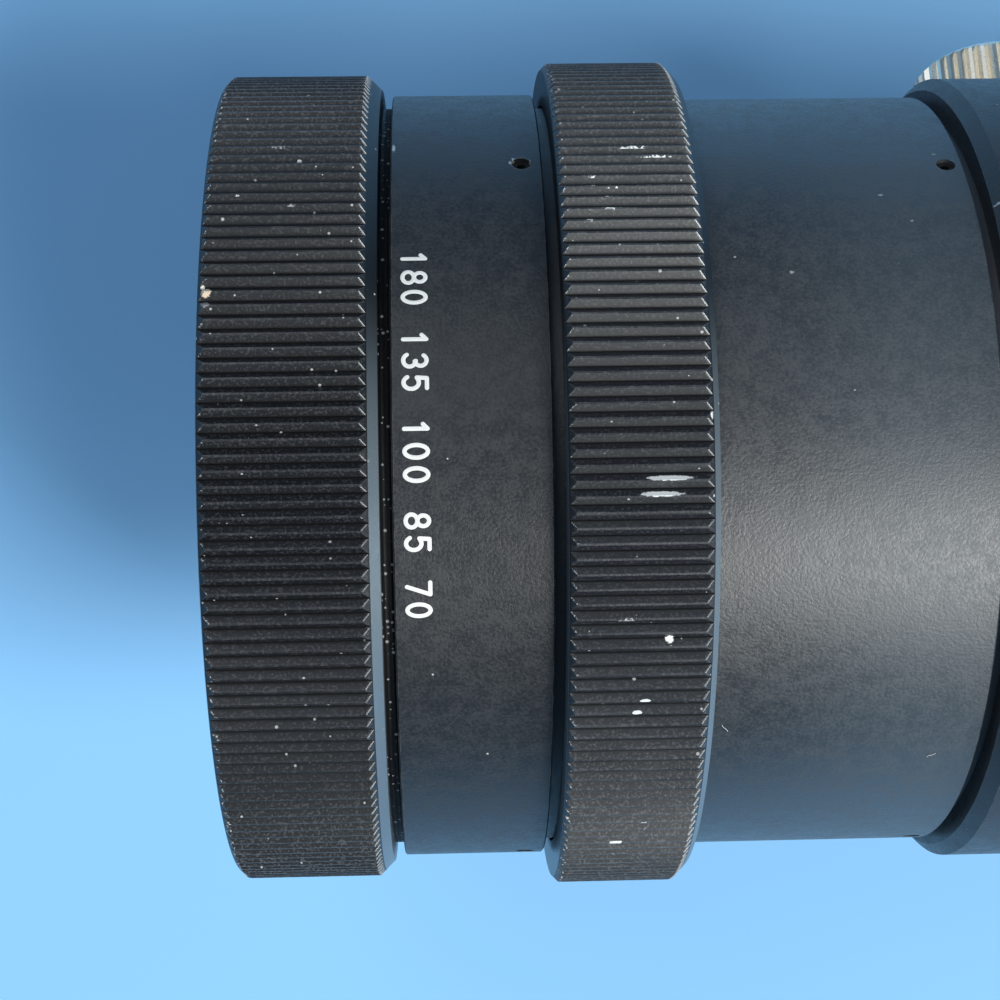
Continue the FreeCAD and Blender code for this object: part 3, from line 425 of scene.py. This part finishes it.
# %% Where a point lies on its rib
def place_on_rib(tree, lathe, ribs):
    crest, valley = ribs["crest"], ribs["valley"]
    # Painted highlight: this picks the flank that faces the light, and the side flips just below the top.
    side = calc(tree, "SIGN", plus(tree, lathe["Angle"], 3.0))
    toward_light = times(tree, times(tree, lathe["Lean"], side), -1.0)
    return {"crest": smooth_step(tree, lathe["Radius"], crest - 0.12, crest - 0.02),
            "upper": smooth_step(tree, lathe["Radius"], crest - 0.16, crest - 0.1),
            "flank": smooth_step(tree, lathe["Radius"], valley, valley + 0.3),
            "deep": smooth_step(tree, lathe["Radius"], valley, valley + 0.14),
            "painted_lit_flank": smooth_step(tree, toward_light, 0.15, 0.4)}


# %% [markdown]
# The tips of the ribs shine as a row of short bright strokes, all of them at the
# rear chamfer and only some at the front one. They are worn bare metal, kept only
# on the flank that faces the light, so they are partly a painted glint. Scratches
# run along the crests.
# Larger marks cover whole ribs but leave the valleys dark.

# %% Bright tips and scratches
def bright_tips(tree, lathe, ribs, spot, worn, blotch):
    front, rear = ribs["front_tip"], ribs["rear_tip"]
    near_rear = smooth_step(tree, lathe["Along"], rear - 0.75, rear - 0.35)
    near_front = smooth_step(tree, times(tree, lathe["Along"], -1.0), -front - 0.3, -front)
    dotted = smooth_step(tree, blotch["Grain"], 0.56, 0.62)
    tips = times(tree, worn, calc(tree, "MAXIMUM", near_rear, times(tree, near_front, dotted)))
    # Painted glint: the worn tips stay only on the flank that faces the light.
    tips = times(tree, times(tree, tips, spot["flank"]), spot["painted_lit_flank"])
    return smooth_step(tree, tips, 0.05, 0.3)


def bare_ribs(tree, spot, worn, tips, scratches, marks):
    masks = [times(tree, times(tree, worn, 0.05), spot["flank"]), tips]
    for along, angle, length, strength in scratches:
        here = times(tree, worn_mark(tree, along, angle, length, 1.0, 0.9), strength)
        masks.append(times(tree, here, spot["upper"]))
    for along, angle, length, width in marks:
        here = worn_mark(tree, along, angle, length, width, 0.3)
        masks.append(times(tree, here, spot["flank"]))
    return strongest(tree, masks)


# %% [markdown]
# Each ring has its own four tones: the valley, the flank, the flank that faces
# the light, which is a painted highlight, and the rubbed crest. The chamfers
# below the valleys are plain turned bands. They are polished, and their tone is
# painted paler on one side of the ring, the -Y side toward the window light:
# partly polish and partly a painted highlight.

# %% Tones and chamfers of a ring
polish_and_highlight_tone = (0.15, 0.19, 0.22, 1)
dust_and_sheen_grey = (0.2, 0.2, 0.2, 1)
bare_rib = (0.86, 0.87, 0.84, 1)
rib_dust = (0.5, 0.5, 0.48, 1)


def rib_tone(tree, lathe, spot, tones):
    # Painted highlight: the flank that faces the light takes the lighter tone, more so toward +Y.
    upper_side = smooth_step(tree, lathe["Angle"], -20.0, 25.0)
    share = plus(tree, times(tree, upper_side, 0.6), 0.4)
    tone = mix_colour(tree, times(tree, spot["painted_lit_flank"], share), tones["flank"], tones["painted_lit_flank"])
    return mix_colour(tree, spot["deep"], tones["valley"], tone)


def chamfer_polish_and_highlight(tree, lathe, valley):
    # Painted highlight: the chamfer's tone is painted paler on the -Y side, toward the window light, and a
    # little less further round.
    below_top = times(tree, lathe["Angle"], -1.0)
    less_further_round = times(tree, smooth_step(tree, below_top, 20.0, 50.0), 0.35)
    polish_and_highlight = minus(tree, smooth_step(tree, below_top, -28.0, 8.0), less_further_round)
    chamfer = calc(tree, "LESS_THAN", lathe["Radius"], valley - 0.02)
    return times(tree, chamfer, polish_and_highlight)


def dust_film_and_sheen(tree, lathe, spot, blotch, from_deg):
    """Thin grey film of dust, thicker on the lower part of the ring; the extra thickness there is a painted
    sheen.
    """
    # Painted sheen: the film is thicker away from the top of the ring.
    low_side = smooth_step(tree, calc(tree, "ABSOLUTE", lathe["Angle"]), from_deg, from_deg + 30.0)
    film = times(tree, smooth_step(tree, blotch["Grain"], 0.5, 0.66), spot["flank"])
    return times(tree, film, plus(tree, times(tree, low_side, 0.16), 0.16))


# %% [markdown]
# Then the layers go over each other as they do on the ring: the tone of the rib
# with its painted highlight on one flank, the rubbed crests, the film of dust with
# its painted sheen, bare metal, chips, specks and last the chamfers with their
# painted highlight.

# %% Finish: grip black
def grip_black(name, ribs, tones, scratches, marks, chips, dust, sheen_from_deg):
    material, tree, shader = start_finish(name, Specular_IOR_Level=0.45)
    lathe = place_group(tree, lathe_group)
    grain = blasted_grain(tree, 0.22, 6.0)
    blotch = blasted_grain(tree, 0.26, 2.2)
    worn = worn_edges(tree, 0.0003, 0.9, 0.78)
    spot = place_on_rib(tree, lathe, ribs)
    tips = bright_tips(tree, lathe, ribs, spot, worn, blotch)
    bare = bare_ribs(tree, spot, worn, tips, scratches, marks)
    rubbed_and_sheen = times(tree, spot["crest"], smooth_step(tree, grain["Cloud"], 0.4, 0.66))
    film = dust_film_and_sheen(tree, lathe, spot, blotch, sheen_from_deg)
    chamfer = chamfer_polish_and_highlight(tree, lathe, ribs["valley"])
    tone = rib_tone(tree, lathe, spot, tones)
    tone = mix_colour(tree, times(tree, rubbed_and_sheen, 0.22), tone, tones["rubbed_and_sheen"])
    # The film of dust, with its painted sheen away from the top.
    tone = mix_colour(tree, film, tone, dust_and_sheen_grey)
    tone = mix_colour(tree, bare, tone, bare_rib)
    for along, angle, length, width, colour in chips:
        tone = mix_colour(tree, worn_mark(tree, along, angle, length, width, 0.45), tone, colour)
    tone = mix_colour(tree, times(tree, dust_specks(tree, 0.7, dust, 0.15), 0.75), tone, rib_dust)
    # The chamfers go last, with their tone painted paler toward the light: a painted highlight.
    tree.links.new(mix_colour(tree, chamfer, tone, polish_and_highlight_tone), shader.inputs["Base Color"])
    roughness = plus(tree, mix_number(tree, spot["crest"], 0.38, 0.30), times(tree, grain["Grain"], 0.12))
    tree.links.new(minus(tree, roughness, times(tree, chamfer, 0.12)), shader.inputs["Roughness"])
    metal = plus(tree, times(tree, bare, 0.25), times(tree, chamfer, 0.55))
    tree.links.new(metal, shader.inputs["Metallic"])
    bump(tree, shader, grain["Grain"], 0.018)
    return material


# %% [markdown]
# ## Inner metals, glass and bright parts
# Inside, the cells are turned and anodised matt black, tubes are a dull grey,
# and the sliding cells are brass. They share one recipe of fine turned lines
# with different tones. The lines run between a dark and a light tone, and they
# also change the roughness a little.

# %% Finish: turned metal
def turned_metal(name, dark, light, metallic, smoothest, roughest, pitch=0.12, dust=0.0):
    material, tree, shader = start_finish(name, Metallic=metallic)
    lines = place_group(tree, turned_group, {"Pitch": pitch})["Lines"]
    grain = blasted_grain(tree, 0.2, 7.0)
    tone = mix_colour(tree, lines, (*dark, 1), (*light, 1))
    tone = mix_colour(tree, times(tree, grain["Cloud"], 0.35), tone, (*dark, 1))
    if dust:
        tone = mix_colour(tree, dust_specks(tree, 1.4, dust, 0.1), tone, rib_dust)
    tree.links.new(tone, shader.inputs["Base Color"])
    share = plus(tree, times(tree, lines, 0.6), times(tree, grain["Cloud"], 0.4))
    roughness = mix_number(tree, share, smoothest, roughest)
    tree.links.new(roughness, shader.inputs["Roughness"])
    bump(tree, shader, lines, 0.008)
    return material


# %% [markdown]
# Each glass is clear with a thin film on it, which gives the reflection its
# tint. It is smooth apart from a trace of haze and a few specks.

# %% Finish: coated glass
def coated_glass(name, film):
    material, tree, shader = start_finish(
        name, Transmission_Weight=1.0, IOR=1.52, Thin_Film_Thickness=film, Thin_Film_IOR=1.38)
    grain = blasted_grain(tree, 0.3, 14.0)
    dots = dust_specks(tree, 3.0, 0.12, 0.12)
    tone = mix_colour(tree, grain["Cloud"], (0.97, 0.975, 1.0, 1), (0.93, 0.96, 0.99, 1))
    tree.links.new(tone, shader.inputs["Base Color"])
    haze = times(tree, smooth_step(tree, grain["Cloud"], 0.5, 0.8), 0.05)
    tree.links.new(calc(tree, "MAXIMUM", haze, times(tree, dots, 0.6)), shader.inputs["Roughness"])
    return material


# %% [markdown]
# ## The tones that the inner pieces get
# One call for each kind of metal. The numbers are the darkest and lightest tone
# of its turned lines, how metallic it is and the range of its roughness.

# %% Tones of the inner pieces
cell_black = turned_metal("cell_black", (0.008, 0.008, 0.009), (0.022, 0.022, 0.024), 0.0, 0.42, 0.62,
                          pitch=0.14, dust=0.06)
inner_grey = turned_metal("inner_grey_metal", (0.10, 0.10, 0.105), (0.2, 0.2, 0.205), 0.85, 0.35, 0.5)
cell_brass = turned_metal("turned_brass", (0.42, 0.27, 0.09), (0.66, 0.47, 0.2), 1.0, 0.22, 0.42)
screw_black = turned_metal("blackened_screw", (0.008, 0.008, 0.008), (0.03, 0.03, 0.03), 0.4, 0.35, 0.6)
plain_steel = turned_metal("plain_steel", (0.36, 0.36, 0.36), (0.6, 0.6, 0.59), 1.0, 0.25, 0.42)
blade_steel = turned_metal("blued_blade_steel", (0.02, 0.022, 0.03), (0.05, 0.052, 0.06), 0.6, 0.35, 0.5,
                           pitch=0.3)
mount_chrome = turned_metal("mount_chrome", (0.56, 0.56, 0.56), (0.74, 0.74, 0.73), 1.0, 0.1, 0.24,
                            pitch=0.2)
glass_front = coated_glass("front_coated_glass", 430.0)
glass_inner = coated_glass("inner_coated_glass", 360.0)


# %% [markdown]
# `dress` gives one finish to any number of the solid pieces. The piece keeps its
# place and shape: only the material in its slot changes.

# %% Dress the inner pieces
def dress(material, *names):
    for name in names:
        piece = nodes[name]
        piece.data.materials.clear()
        piece.data.materials.append(material)
    print(material.name, "on", len(names), "pieces")


dress(cell_black, "front_cell", "front_bezel", "mount_base", "cell_retainer", "relay_end_ring",
      "front_spacer", "relay_front_spacer", "relay_rear_spacer", "variator_ring", "compensator_ring",
      "relay_tube", "iris_nut")
dress(inner_grey, "guide_tube", "cam_barrel", "main_barrel", "iris_base", "iris_drive_ring")
dress(cell_brass, "variator_cell", "compensator_cell", "variator_rollers", "compensator_rollers",
      "pressure_pad", "cell_key")
dress(screw_black, "front_barrel_set_screws", "cover_set_screws", "zoom_ring_screws", "foot_screws",
      "link_screw")
dress(plain_steel, "lock_stud", "mount_screws", "link_bar")
dress(blade_steel, *["iris_blade_%d" % number for number in range(1, 8)])
dress(mount_chrome, "bayonet_ring")
dress(glass_front, "front_glass")
dress(glass_inner, "front_doublet", "variator_glass", "compensator_glass", "relay_front_glass",
      "relay_middle_glass", "relay_rear_glass")

# %% [markdown]
# ## The barrels, each with its own marks
# The marks are listed as place along the axis, place round it, length and
# width, all in millimetres and degrees. The front barrel's set-screw hole is
# chipped on one side, and the sleeve and the collar carry a few pale specks.

# %% Dress the barrels
front_marks = [(-210.74, 49.0, 0.26, 0.55), (-211.02, 48.2, 0.32, 0.45), (-210.7, 47.5, 0.3, 0.3),
               (-209.08, 48.3, 0.12, 0.9), (-222.3, 52.0, 0.3, 1.2)]
sleeve_marks = [(-185.21, 28.5, 0.42, 0.3), (-175.55, 41.6, 0.5, 0.25), (-173.13, 36.7, 0.3, 0.3),
                (-169.2, 50.6, 0.35, 0.2), (-190.4, 31.0, 0.2, 0.2), (-180.3, 12.0, 0.22, 0.2)]
collar_marks = [(-164.9, 38.0, 0.7, 0.3), (-165.1, 20.0, 0.4, 0.3)]
rear_marks = [(-120.0, 30.0, 1.2, 0.3)]
# In front of -222.64 mm the neck in the gap is painted near black: painted shade.
front_barrel_black = barrel_black("front_barrel_black", front_marks, dust=0.035, neck_end=-222.64)
# From -192 mm toward the collar the sleeve's tone is painted paler: a painted highlight.
sleeve_black = barrel_black("sleeve_black", sleeve_marks, dust=0.02, highlight_from=-192.0, sheen=0.95)
collar_black = barrel_black("collar_black", collar_marks)
rear_black = barrel_black("rear_barrel_black", rear_marks, dust=0.03)
dress(front_barrel_black, "front_barrel")
dress(sleeve_black, "cover_sleeve")
dress(collar_black, "tripod_collar", "collar_foot", "collar_nut")
dress(rear_black, "rear_barrel", "aperture_ring")

# %% [markdown]
# ## The two grip rings
# The front ring has a chipped corner with tan primer showing, and a few faint
# scratches on its crests. The zoom ring is the one that the hand uses most: it
# has pale streaks along single crests, a white blob and many short scratches.
# A scratch is listed as place along, place round, length and strength, a mark
# with its width instead, and a chip with its width and colour.

# %% Dress the front ring
focus_ribs = {"crest": 43.88, "valley": 43.26, "front_tip": -239.3, "rear_tip": -224.8}
# The third tone is a painted highlight: the flank that faces the light.
focus_tones = {"valley": (0.0008, 0.0008, 0.001, 1), "flank": (0.004, 0.005, 0.007, 1),
               "painted_lit_flank": (0.010, 0.011, 0.013, 1), "rubbed_and_sheen": (0.05, 0.052, 0.055, 1)}
focus_scratches = [(-233.29, 48.7, 1.9, 0.4), (-226.85, 47.1, 1.6, 0.35), (-231.7, 36.5, 0.9, 0.35),
                   (-236.9, 38.2, 0.8, 0.6)]
focus_marks = [(-231.19, 45.6, 0.5, 0.45)]
tan_primer, chipped_grey, chalk_white = (0.62, 0.5, 0.36, 1), (0.2, 0.2, 0.21, 1), (0.8, 0.78, 0.72, 1)
focus_chips = [(-239.15, 24.6, 0.9, 0.9, tan_primer), (-239.2, 23.0, 0.8, 0.7, chipped_grey),
               (-239.5, 25.4, 0.4, 0.5, chalk_white)]
focus_black = grip_black("focus_ring_black", focus_ribs, focus_tones, focus_scratches, focus_marks,
                         focus_chips, dust=0.09, sheen_from_deg=35.0)
dress(focus_black, "focus_ring")

# %% [markdown]
# The zoom ring's flank that faces the light is painted paler, a stronger painted
# highlight, its film of dust and painted sheen starts nearer the top, and its
# marks are larger.

# %% Dress the zoom ring
zoom_ribs = {"crest": 45.0, "valley": 44.38, "front_tip": -206.2, "rear_tip": -193.9}
# The zoom ring's third tone, the flank that faces the light, is a paler painted highlight.
zoom_tones = {"valley": (0.001, 0.001, 0.0015, 1), "flank": (0.009, 0.011, 0.015, 1),
              "painted_lit_flank": (0.038, 0.040, 0.041, 1), "rubbed_and_sheen": (0.11, 0.115, 0.12, 1)}
zoom_scratches = [(-199.6, 44.7, 2.9, 1.0), (-197.4, 42.9, 2.6, 1.0), (-203.57, 39.3, 0.9, 1.0),
                  (-201.89, 37.4, 1.4, 1.0), (-202.18, 35.5, 1.9, 1.0), (-204.11, 33.7, 0.9, 1.0),
                  (-201.72, -15.8, 1.6, 0.5), (-199.0, -48.0, 1.2, 0.8), (-201.5, -52.5, 1.0, 0.8)]
zoom_marks = [(-197.92, 1.2, 4.1, 0.42), (-198.65, -0.6, 3.7, 0.44), (-199.88, -25.8, 1.0, 0.25),
              (-200.56, -27.5, 0.9, 0.3), (-193.95, 8.4, 0.35, 0.8)]
white_blob = (0.85, 0.84, 0.8, 1)
zoom_chips = [(-197.8, -17.9, 0.75, 0.75, white_blob)]
zoom_black = grip_black("zoom_ring_black", zoom_ribs, zoom_tones, zoom_scratches, zoom_marks,
                        zoom_chips, dust=0.06, sheen_from_deg=15.0)
dress(zoom_black, "zoom_ring")

# %% [markdown]
# ## The lock knob
# The knob is brass with a satin chrome plate. Its straight knurl is what gives
# the stripes: each rib mirrors the light on one side and the table on the
# other. A little warm brass shows where the plate has thinned on the ribs.

# %% Finish: satin chrome with thin places
def knob_chrome():
    material, tree, shader = start_finish("knob_satin_chrome", Metallic=1.0)
    grain = blasted_grain(tree, 0.5, 3.0)
    worn = worn_edges(tree, 0.00022, 1.6, 0.62)
    tone = mix_colour(tree, grain["Cloud"], (0.74, 0.68, 0.56, 1), (0.86, 0.81, 0.71, 1))
    tone = mix_colour(tree, times(tree, worn, 0.7), tone, (0.78, 0.60, 0.34, 1))
    tree.links.new(tone, shader.inputs["Base Color"])
    roughness = plus(tree, times(tree, grain["Cloud"], 0.16), 0.2)
    tree.links.new(roughness, shader.inputs["Roughness"])
    bump(tree, shader, grain["Grain"], 0.004)
    return material


dress(knob_chrome(), "lock_knob")

# %% [markdown]
# ## White numerals
# The scale on the front barrel is cut with a round-nosed cutter and filled with
# white paint, so each stroke has the same width and round ends. Each numeral is
# drawn as a few centre lines in a box one unit high. One plain upright stroke
# serves as an index line.

# %% Numerals as centre lines
def bend_line(x, y, half_width, half_height, first, last, steps=14):
    turns = [math.radians(first + (last - first) * i / steps) for i in range(steps + 1)]
    return [(x + half_width * math.cos(t), y + half_height * math.sin(t)) for t in turns]


numerals = {
    "0": [bend_line(0.3, 0.5, 0.27, 0.5, 0, 360, 26)],
    "1": [[(0.12, 0.8), (0.32, 1.0), (0.32, 0.0)]],
    "2": [bend_line(0.3, 0.72, 0.27, 0.28, 165, -35) + [(0.03, 0.0), (0.58, 0.0)]],
    "3": [bend_line(0.29, 0.745, 0.25, 0.255, 150, -80), bend_line(0.29, 0.27, 0.28, 0.27, 85, -155)],
    "4": [[(0.45, 0.0), (0.45, 1.0), (0.02, 0.27), (0.6, 0.27)]],
    "5": [[(0.54, 1.0), (0.1, 1.0), (0.07, 0.57)] + bend_line(0.29, 0.33, 0.28, 0.33, 118, -150)],
    "6": [bend_line(0.3, 0.3, 0.27, 0.3, 0, 360, 22), [(0.04, 0.36), (0.14, 0.72), (0.44, 1.0)]],
    "7": [[(0.03, 1.0), (0.57, 1.0), (0.22, 0.0)]],
    "8": [bend_line(0.3, 0.75, 0.23, 0.25, 0, 360, 20), bend_line(0.3, 0.25, 0.28, 0.25, 0, 360, 20)],
    ".": [[(0.12, 0.02), (0.14, 0.02)]],
    "|": [[(0.0, 0.0), (0.0, 1.0)]],
}
print("numerals drawn:", "".join(numerals))


# %% [markdown]
# A stroke is laid flat first: seven points round each end make its rim, and a
# point on each end's centre gives it a low crown. The function that it is given
# then bends every point round the barrel.

# %% Strokes with round ends
def stroke_strip(line, width, lay_down, verts, faces):
    """Add one stroke. `lay_down(u, v, lift)` puts a flat point on the piece."""
    half = width / 2
    for (u0, v0), (u1, v1) in zip(line, line[1:]):
        direction = math.atan2(v1 - v0, u1 - u0)
        ends = ((u1, v1, -90), (u0, v0, 90))
        rim = []
        for u, v, start in ends:
            for i in range(7):
                t = direction + math.radians(start + 30 * i)
                rim.append((u + half * math.cos(t), v + half * math.sin(t)))
        first = len(verts)
        verts.extend(lay_down(u, v, 0.0) for u, v in rim)
        verts.append(lay_down(u0, v0, 1.0))
        verts.append(lay_down(u1, v1, 1.0))
        back, front = len(verts) - 2, len(verts) - 1
        for i in range(14):
            middle = front if i < 7 else back
            after = first + (i + 1) % 14
            if i in (6, 13):
                other = back if i == 6 else front
                faces.append((first + i, after, other, middle))
            else:
                faces.append((first + i, after, middle))


# %% [markdown]
# A piece that is made here needs three things: a mesh, a material and the body
# that it rides on.

# %% Turn points and faces into a piece
def mesh_piece(name, verts, faces, material, body):
    mesh = bpy.data.meshes.new(name)
    mesh.from_pydata(verts, [], faces)
    mesh.materials.append(material)
    mesh.validate()
    piece = bpy.data.objects.new(name, mesh)
    bpy.context.scene.collection.objects.link(piece)
    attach(piece, body)
    print(name, "has", len(mesh.polygons), "faces")


# %% [markdown]
# The paint is a warm white with a soft sheen. It lies a hair above the metal,
# its tone drifts a little, and small specks of it are gone.

# %% Finish: filled paint
def filled_paint(name, tone_low, tone_high):
    material, tree, shader = start_finish(name, Roughness=0.5)
    grain = blasted_grain(tree, 0.1, 2.5)
    gone = dust_specks(tree, 0.6, 0.1, 0.12)
    tone = mix_colour(tree, grain["Cloud"], tone_low, tone_high)
    tone = mix_colour(tree, gone, tone, (0.12, 0.12, 0.12, 1))
    tree.links.new(tone, shader.inputs["Base Color"])
    bump(tree, shader, grain["Grain"], 0.01)
    return material


white_paint = filled_paint("white_filled_paint", (0.60, 0.60, 0.57, 1), (0.76, 0.76, 0.73, 1))

# %% [markdown]
# A row of numbers starts at an angle and runs down round the barrel, one step of
# `pitch` millimetres for each character. `radius_at` gives the barrel's radius
# at a place along the axis, so the same call also serves a cone. The middle of a
# stroke stands a little above its edges, as a drop of paint does.

# %% Write a row of numbers round a barrel
paint_above_metal = 0.012
stroke_crown = 0.02


def number_row(text, foot_x, height, start_deg, pitch, radius_at, width):
    """Numbers read toward -Y seen from above, and their tops point to the mount."""
    verts, faces = [], []
    for place, letter in enumerate(text):
        if letter == " ":
            continue
        offset = place * pitch

        def lay_down(u, v, lift):
            x = foot_x + v * height
            radius = radius_at(x) + paint_above_metal + stroke_crown * lift
            turn = math.radians(start_deg) - (offset + u * height) / radius
            return (x / 1000, radius * math.sin(turn) / 1000, radius * math.cos(turn) / 1000)

        for line in numerals[letter]:
            stroke_strip(line, width / height, lay_down, verts, faces)
    return verts, faces


front_barrel_radius = 41.74
verts, faces = number_row("180 135 100 85 70", foot_x=-221.45, height=2.12, start_deg=31.6, pitch=2.09,
                          radius_at=lambda x: front_barrel_radius, width=0.39)
mesh_piece("zoom_scale_numerals", verts, faces, white_paint, "main_barrel")

# %% [markdown]
# The aperture ring carries its own plain scale on the cone in front of the
# scallops. Each number is centred on its own place, six degrees from the next,
# and a short index line on the barrel points to the one that is set.

# %% The aperture scale
cone_front_x, cone_length = -39.8, 6.0
cone_front_radius, cone_rear_radius = 33.6, 34.6
index_deg, step_deg = -15.0, 6.0
cone_middle_radius = 34.0
digit_pitch = 1.24


def cone_radius(x):
    share = (x - cone_front_x) / cone_length
    return cone_front_radius + (cone_rear_radius - cone_front_radius) * min(max(share, 0.0), 1.0)


def barrel_end_radius(x):
    """The barrel narrows by 0.3 mm for each millimetre behind x = -50 mm."""
    return 34.5 - 0.3 * (x + 50.0)


verts, faces = [], []
for step, text in enumerate(("4", "5.6", "8", "11", "16", "22")):
    half_text_deg = math.degrees(len(text) * digit_pitch / 2 / cone_middle_radius)
    start = index_deg + step * step_deg + half_text_deg
    more_verts, more_faces = number_row(text, -37.9, 1.7, start, digit_pitch, cone_radius, 0.32)
    faces += [tuple(i + len(verts) for i in face) for face in more_faces]
    verts += more_verts
mesh_piece("aperture_numerals", verts, faces, white_paint, "aperture_ring")
verts, faces = number_row("|", -49.4, 2.4, index_deg, 1.0, barrel_end_radius, 0.4)
mesh_piece("aperture_index", verts, faces, white_paint, "main_barrel")


# %% [markdown]
# ## The filter thread
# The front cell is threaded so that a filter screws in. A thread is one ridge
# that winds round and moves forward by its pitch each turn, so this ridge is
# built as one long winding strip with a triangular section, just inside the
# bore. That is lighter and cleaner than cutting it from the solid.

# %% Filter thread
def winding_ridge(first_x, last_x, pitch, root, crest, sides=150, fade_steps=20):
    verts, faces = [], []
    half_base = 0.36 * pitch
    turns = (last_x - first_x) / pitch
    count = int(turns * sides)
    for i in range(count + 1):
        t = 2 * math.pi * i / sides
        x = first_x + pitch * i / sides
        fade = min(1.0, i / fade_steps, (count - i) / fade_steps)
        top = root + (crest - root) * fade
        for shift, radius in ((-half_base, root), (0.0, top), (half_base, root)):
            verts.append(((x + shift) / 1000, radius * math.sin(t) / 1000, radius * math.cos(t) / 1000))
    for i in range(count):
        a = 3 * i
        faces.append((a, a + 1, a + 4, a + 3))
        faces.append((a + 1, a + 2, a + 5, a + 4))
    return verts, faces


verts, faces = winding_ridge(first_x=-238.9, last_x=-235.2, pitch=0.75, root=35.58, crest=35.2)
mesh_piece("filter_thread", verts, faces, cell_black, "front_cell")

# %% [markdown]
# ## Lint
# Two tiny curled fibres rest on the sleeve. A fibre is a thin round tube along
# a short curve that follows the barrel.

# %% Fibres on the sleeve
sleeve_radius = 41.1
fibre_radius_m = 0.000022


def lint(name, along, angle, length, curl, seed):
    noise = random.Random(seed)
    line = bpy.data.curves.new(name, "CURVE")
    line.dimensions = "3D"
    line.bevel_depth = fibre_radius_m
    line.bevel_resolution = 1
    spline = line.splines.new("NURBS")
    spline.points.add(6)
    spline.use_endpoint_u = True
    for i, point in enumerate(spline.points):
        u = i / 6
        x = along + length * (u - 0.5) * math.cos(curl) + 0.15 * length * math.sin(5 * u + seed)
        sideways = length * (u - 0.5) * math.sin(curl) + noise.uniform(-0.06, 0.06)
        turn = math.radians(angle) + sideways / sleeve_radius
        radius = sleeve_radius + 0.03 + 0.03 * math.sin(math.pi * u)
        point.co = (x / 1000, radius * math.sin(turn) / 1000, radius * math.cos(turn) / 1000, 1)
    piece = bpy.data.objects.new(name, line)
    bpy.context.scene.collection.objects.link(piece)
    line.materials.append(white_paint)
    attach(piece, "main_barrel")
    print(name, "lies at", along, "mm,", angle, "degrees")


lint("sleeve_lint_upper", along=-191.53, angle=-34.7, length=1.1, curl=-1.2, seed=4)
lint("sleeve_lint_lower", along=-171.13, angle=-40.9, length=0.9, curl=0.6, seed=9)

# %% [markdown]
# ## Table, light and camera
# The lens stands on a wide, pale blue table. A table is one flat sheet of faces,
# a hair below the foot. Its blue shows again in the barrels' flanks, as it would
# in a studio.

# %% Table
table_height = -0.0621


def table_top(half_width, steps=24):
    mesh = bpy.data.meshes.new("table_top")
    span = [half_width * (2 * i / steps - 1) for i in range(steps + 1)]
    verts = [(x, y, table_height) for y in span for x in span]
    row = steps + 1
    faces = [(j * row + i, j * row + i + 1, (j + 1) * row + i + 1, (j + 1) * row + i)
             for j in range(steps) for i in range(steps)]
    mesh.from_pydata(verts, [], faces)
    piece = bpy.data.objects.new("table_top", mesh)
    bpy.context.scene.collection.objects.link(piece)
    material, tree, shader = start_finish("pale_table", Roughness=0.75)
    cloud = add(tree, "ShaderNodeTexNoise", {"Scale": 3.0, "Detail": 2.0})
    tone = mix_colour(tree, cloud.outputs["Fac"], (0.20, 0.45, 0.74, 1), (0.23, 0.49, 0.78, 1))
    tree.links.new(tone, shader.inputs["Base Color"])
    mesh.materials.append(material)
    print("table", 2 * half_width, "m wide")


table_top(4.0)


# %% [markdown]
# One large soft window light stands high on the mount side and gives the broad
# highlight along the barrels. Two weak lamps open up the front and the mount
# end, and an even blue sky fills the rest.

# %% Lights
def soft_light(name, place, aim, width, height, power, colour):
    lamp = bpy.data.lights.new(name, "AREA")
    lamp.shape = "RECTANGLE"
    lamp.size, lamp.size_y = width, height
    lamp.energy = power
    lamp.color = colour
    stand = bpy.data.objects.new(name, lamp)
    stand.location = place
    stand.rotation_euler = (Vector(aim) - Vector(place)).to_track_quat("-Z", "Y").to_euler()
    bpy.context.scene.collection.objects.link(stand)


soft_light("window_light", place=(1.25, -0.96, 2.17), aim=(-0.16, 0, 0.03),
           width=1.35, height=1.12, power=97.0, colour=(1.0, 0.99, 0.95))
soft_light("front_fill", place=(-0.9, 0.8, 1.2), aim=(-0.2, 0, 0.0),
           width=1.2, height=1.2, power=9.0, colour=(0.95, 0.97, 1.0))
soft_light("mount_side_light", place=(0.95, -0.55, 0.50), aim=(-0.2, 0, 0.0),
           width=0.8, height=0.5, power=9.0, colour=(0.9, 0.98, 1.0))
sky = bpy.data.worlds.new("studio_sky")
sky.use_nodes = True
glow = sky.node_tree.nodes["Background"].inputs
glow["Color"].default_value = (0.38, 0.66, 1.0, 1)
glow["Strength"].default_value = 0.27
bpy.context.scene.world = sky
print("lamps:", [lamp.name for lamp in bpy.data.lights])

# %% [markdown]
# The camera stands straight above the front half of the lens, at the distance
# and tilt that make the rings' rims fall where the photograph shows them.

# %% Camera
camera = bpy.data.objects.new("camera", bpy.data.cameras.new("camera"))
camera.data.sensor_width = 36.0
camera.data.lens = 67.034
camera.data.dof.use_dof = False
camera.data.clip_start, camera.data.clip_end = 0.01, 20.0
right = Vector((0.99937858, -0.01479188, 0.03199454))
up = Vector((0.01622985, 0.99884785, -0.04516148))
back = Vector((-0.03128965, 0.04565268, 0.99846722))
turned_to = Matrix((right, up, back)).transposed().to_4x4()
stands_at = (-0.218165, 0.006740, 0.209348)
camera.matrix_world = Matrix.Translation(stands_at) @ turned_to
bpy.context.scene.collection.objects.link(camera)
bpy.context.scene.camera = camera
bpy.context.scene.view_settings.view_transform = "Standard"
print("camera at", [round(v, 4) for v in stands_at])
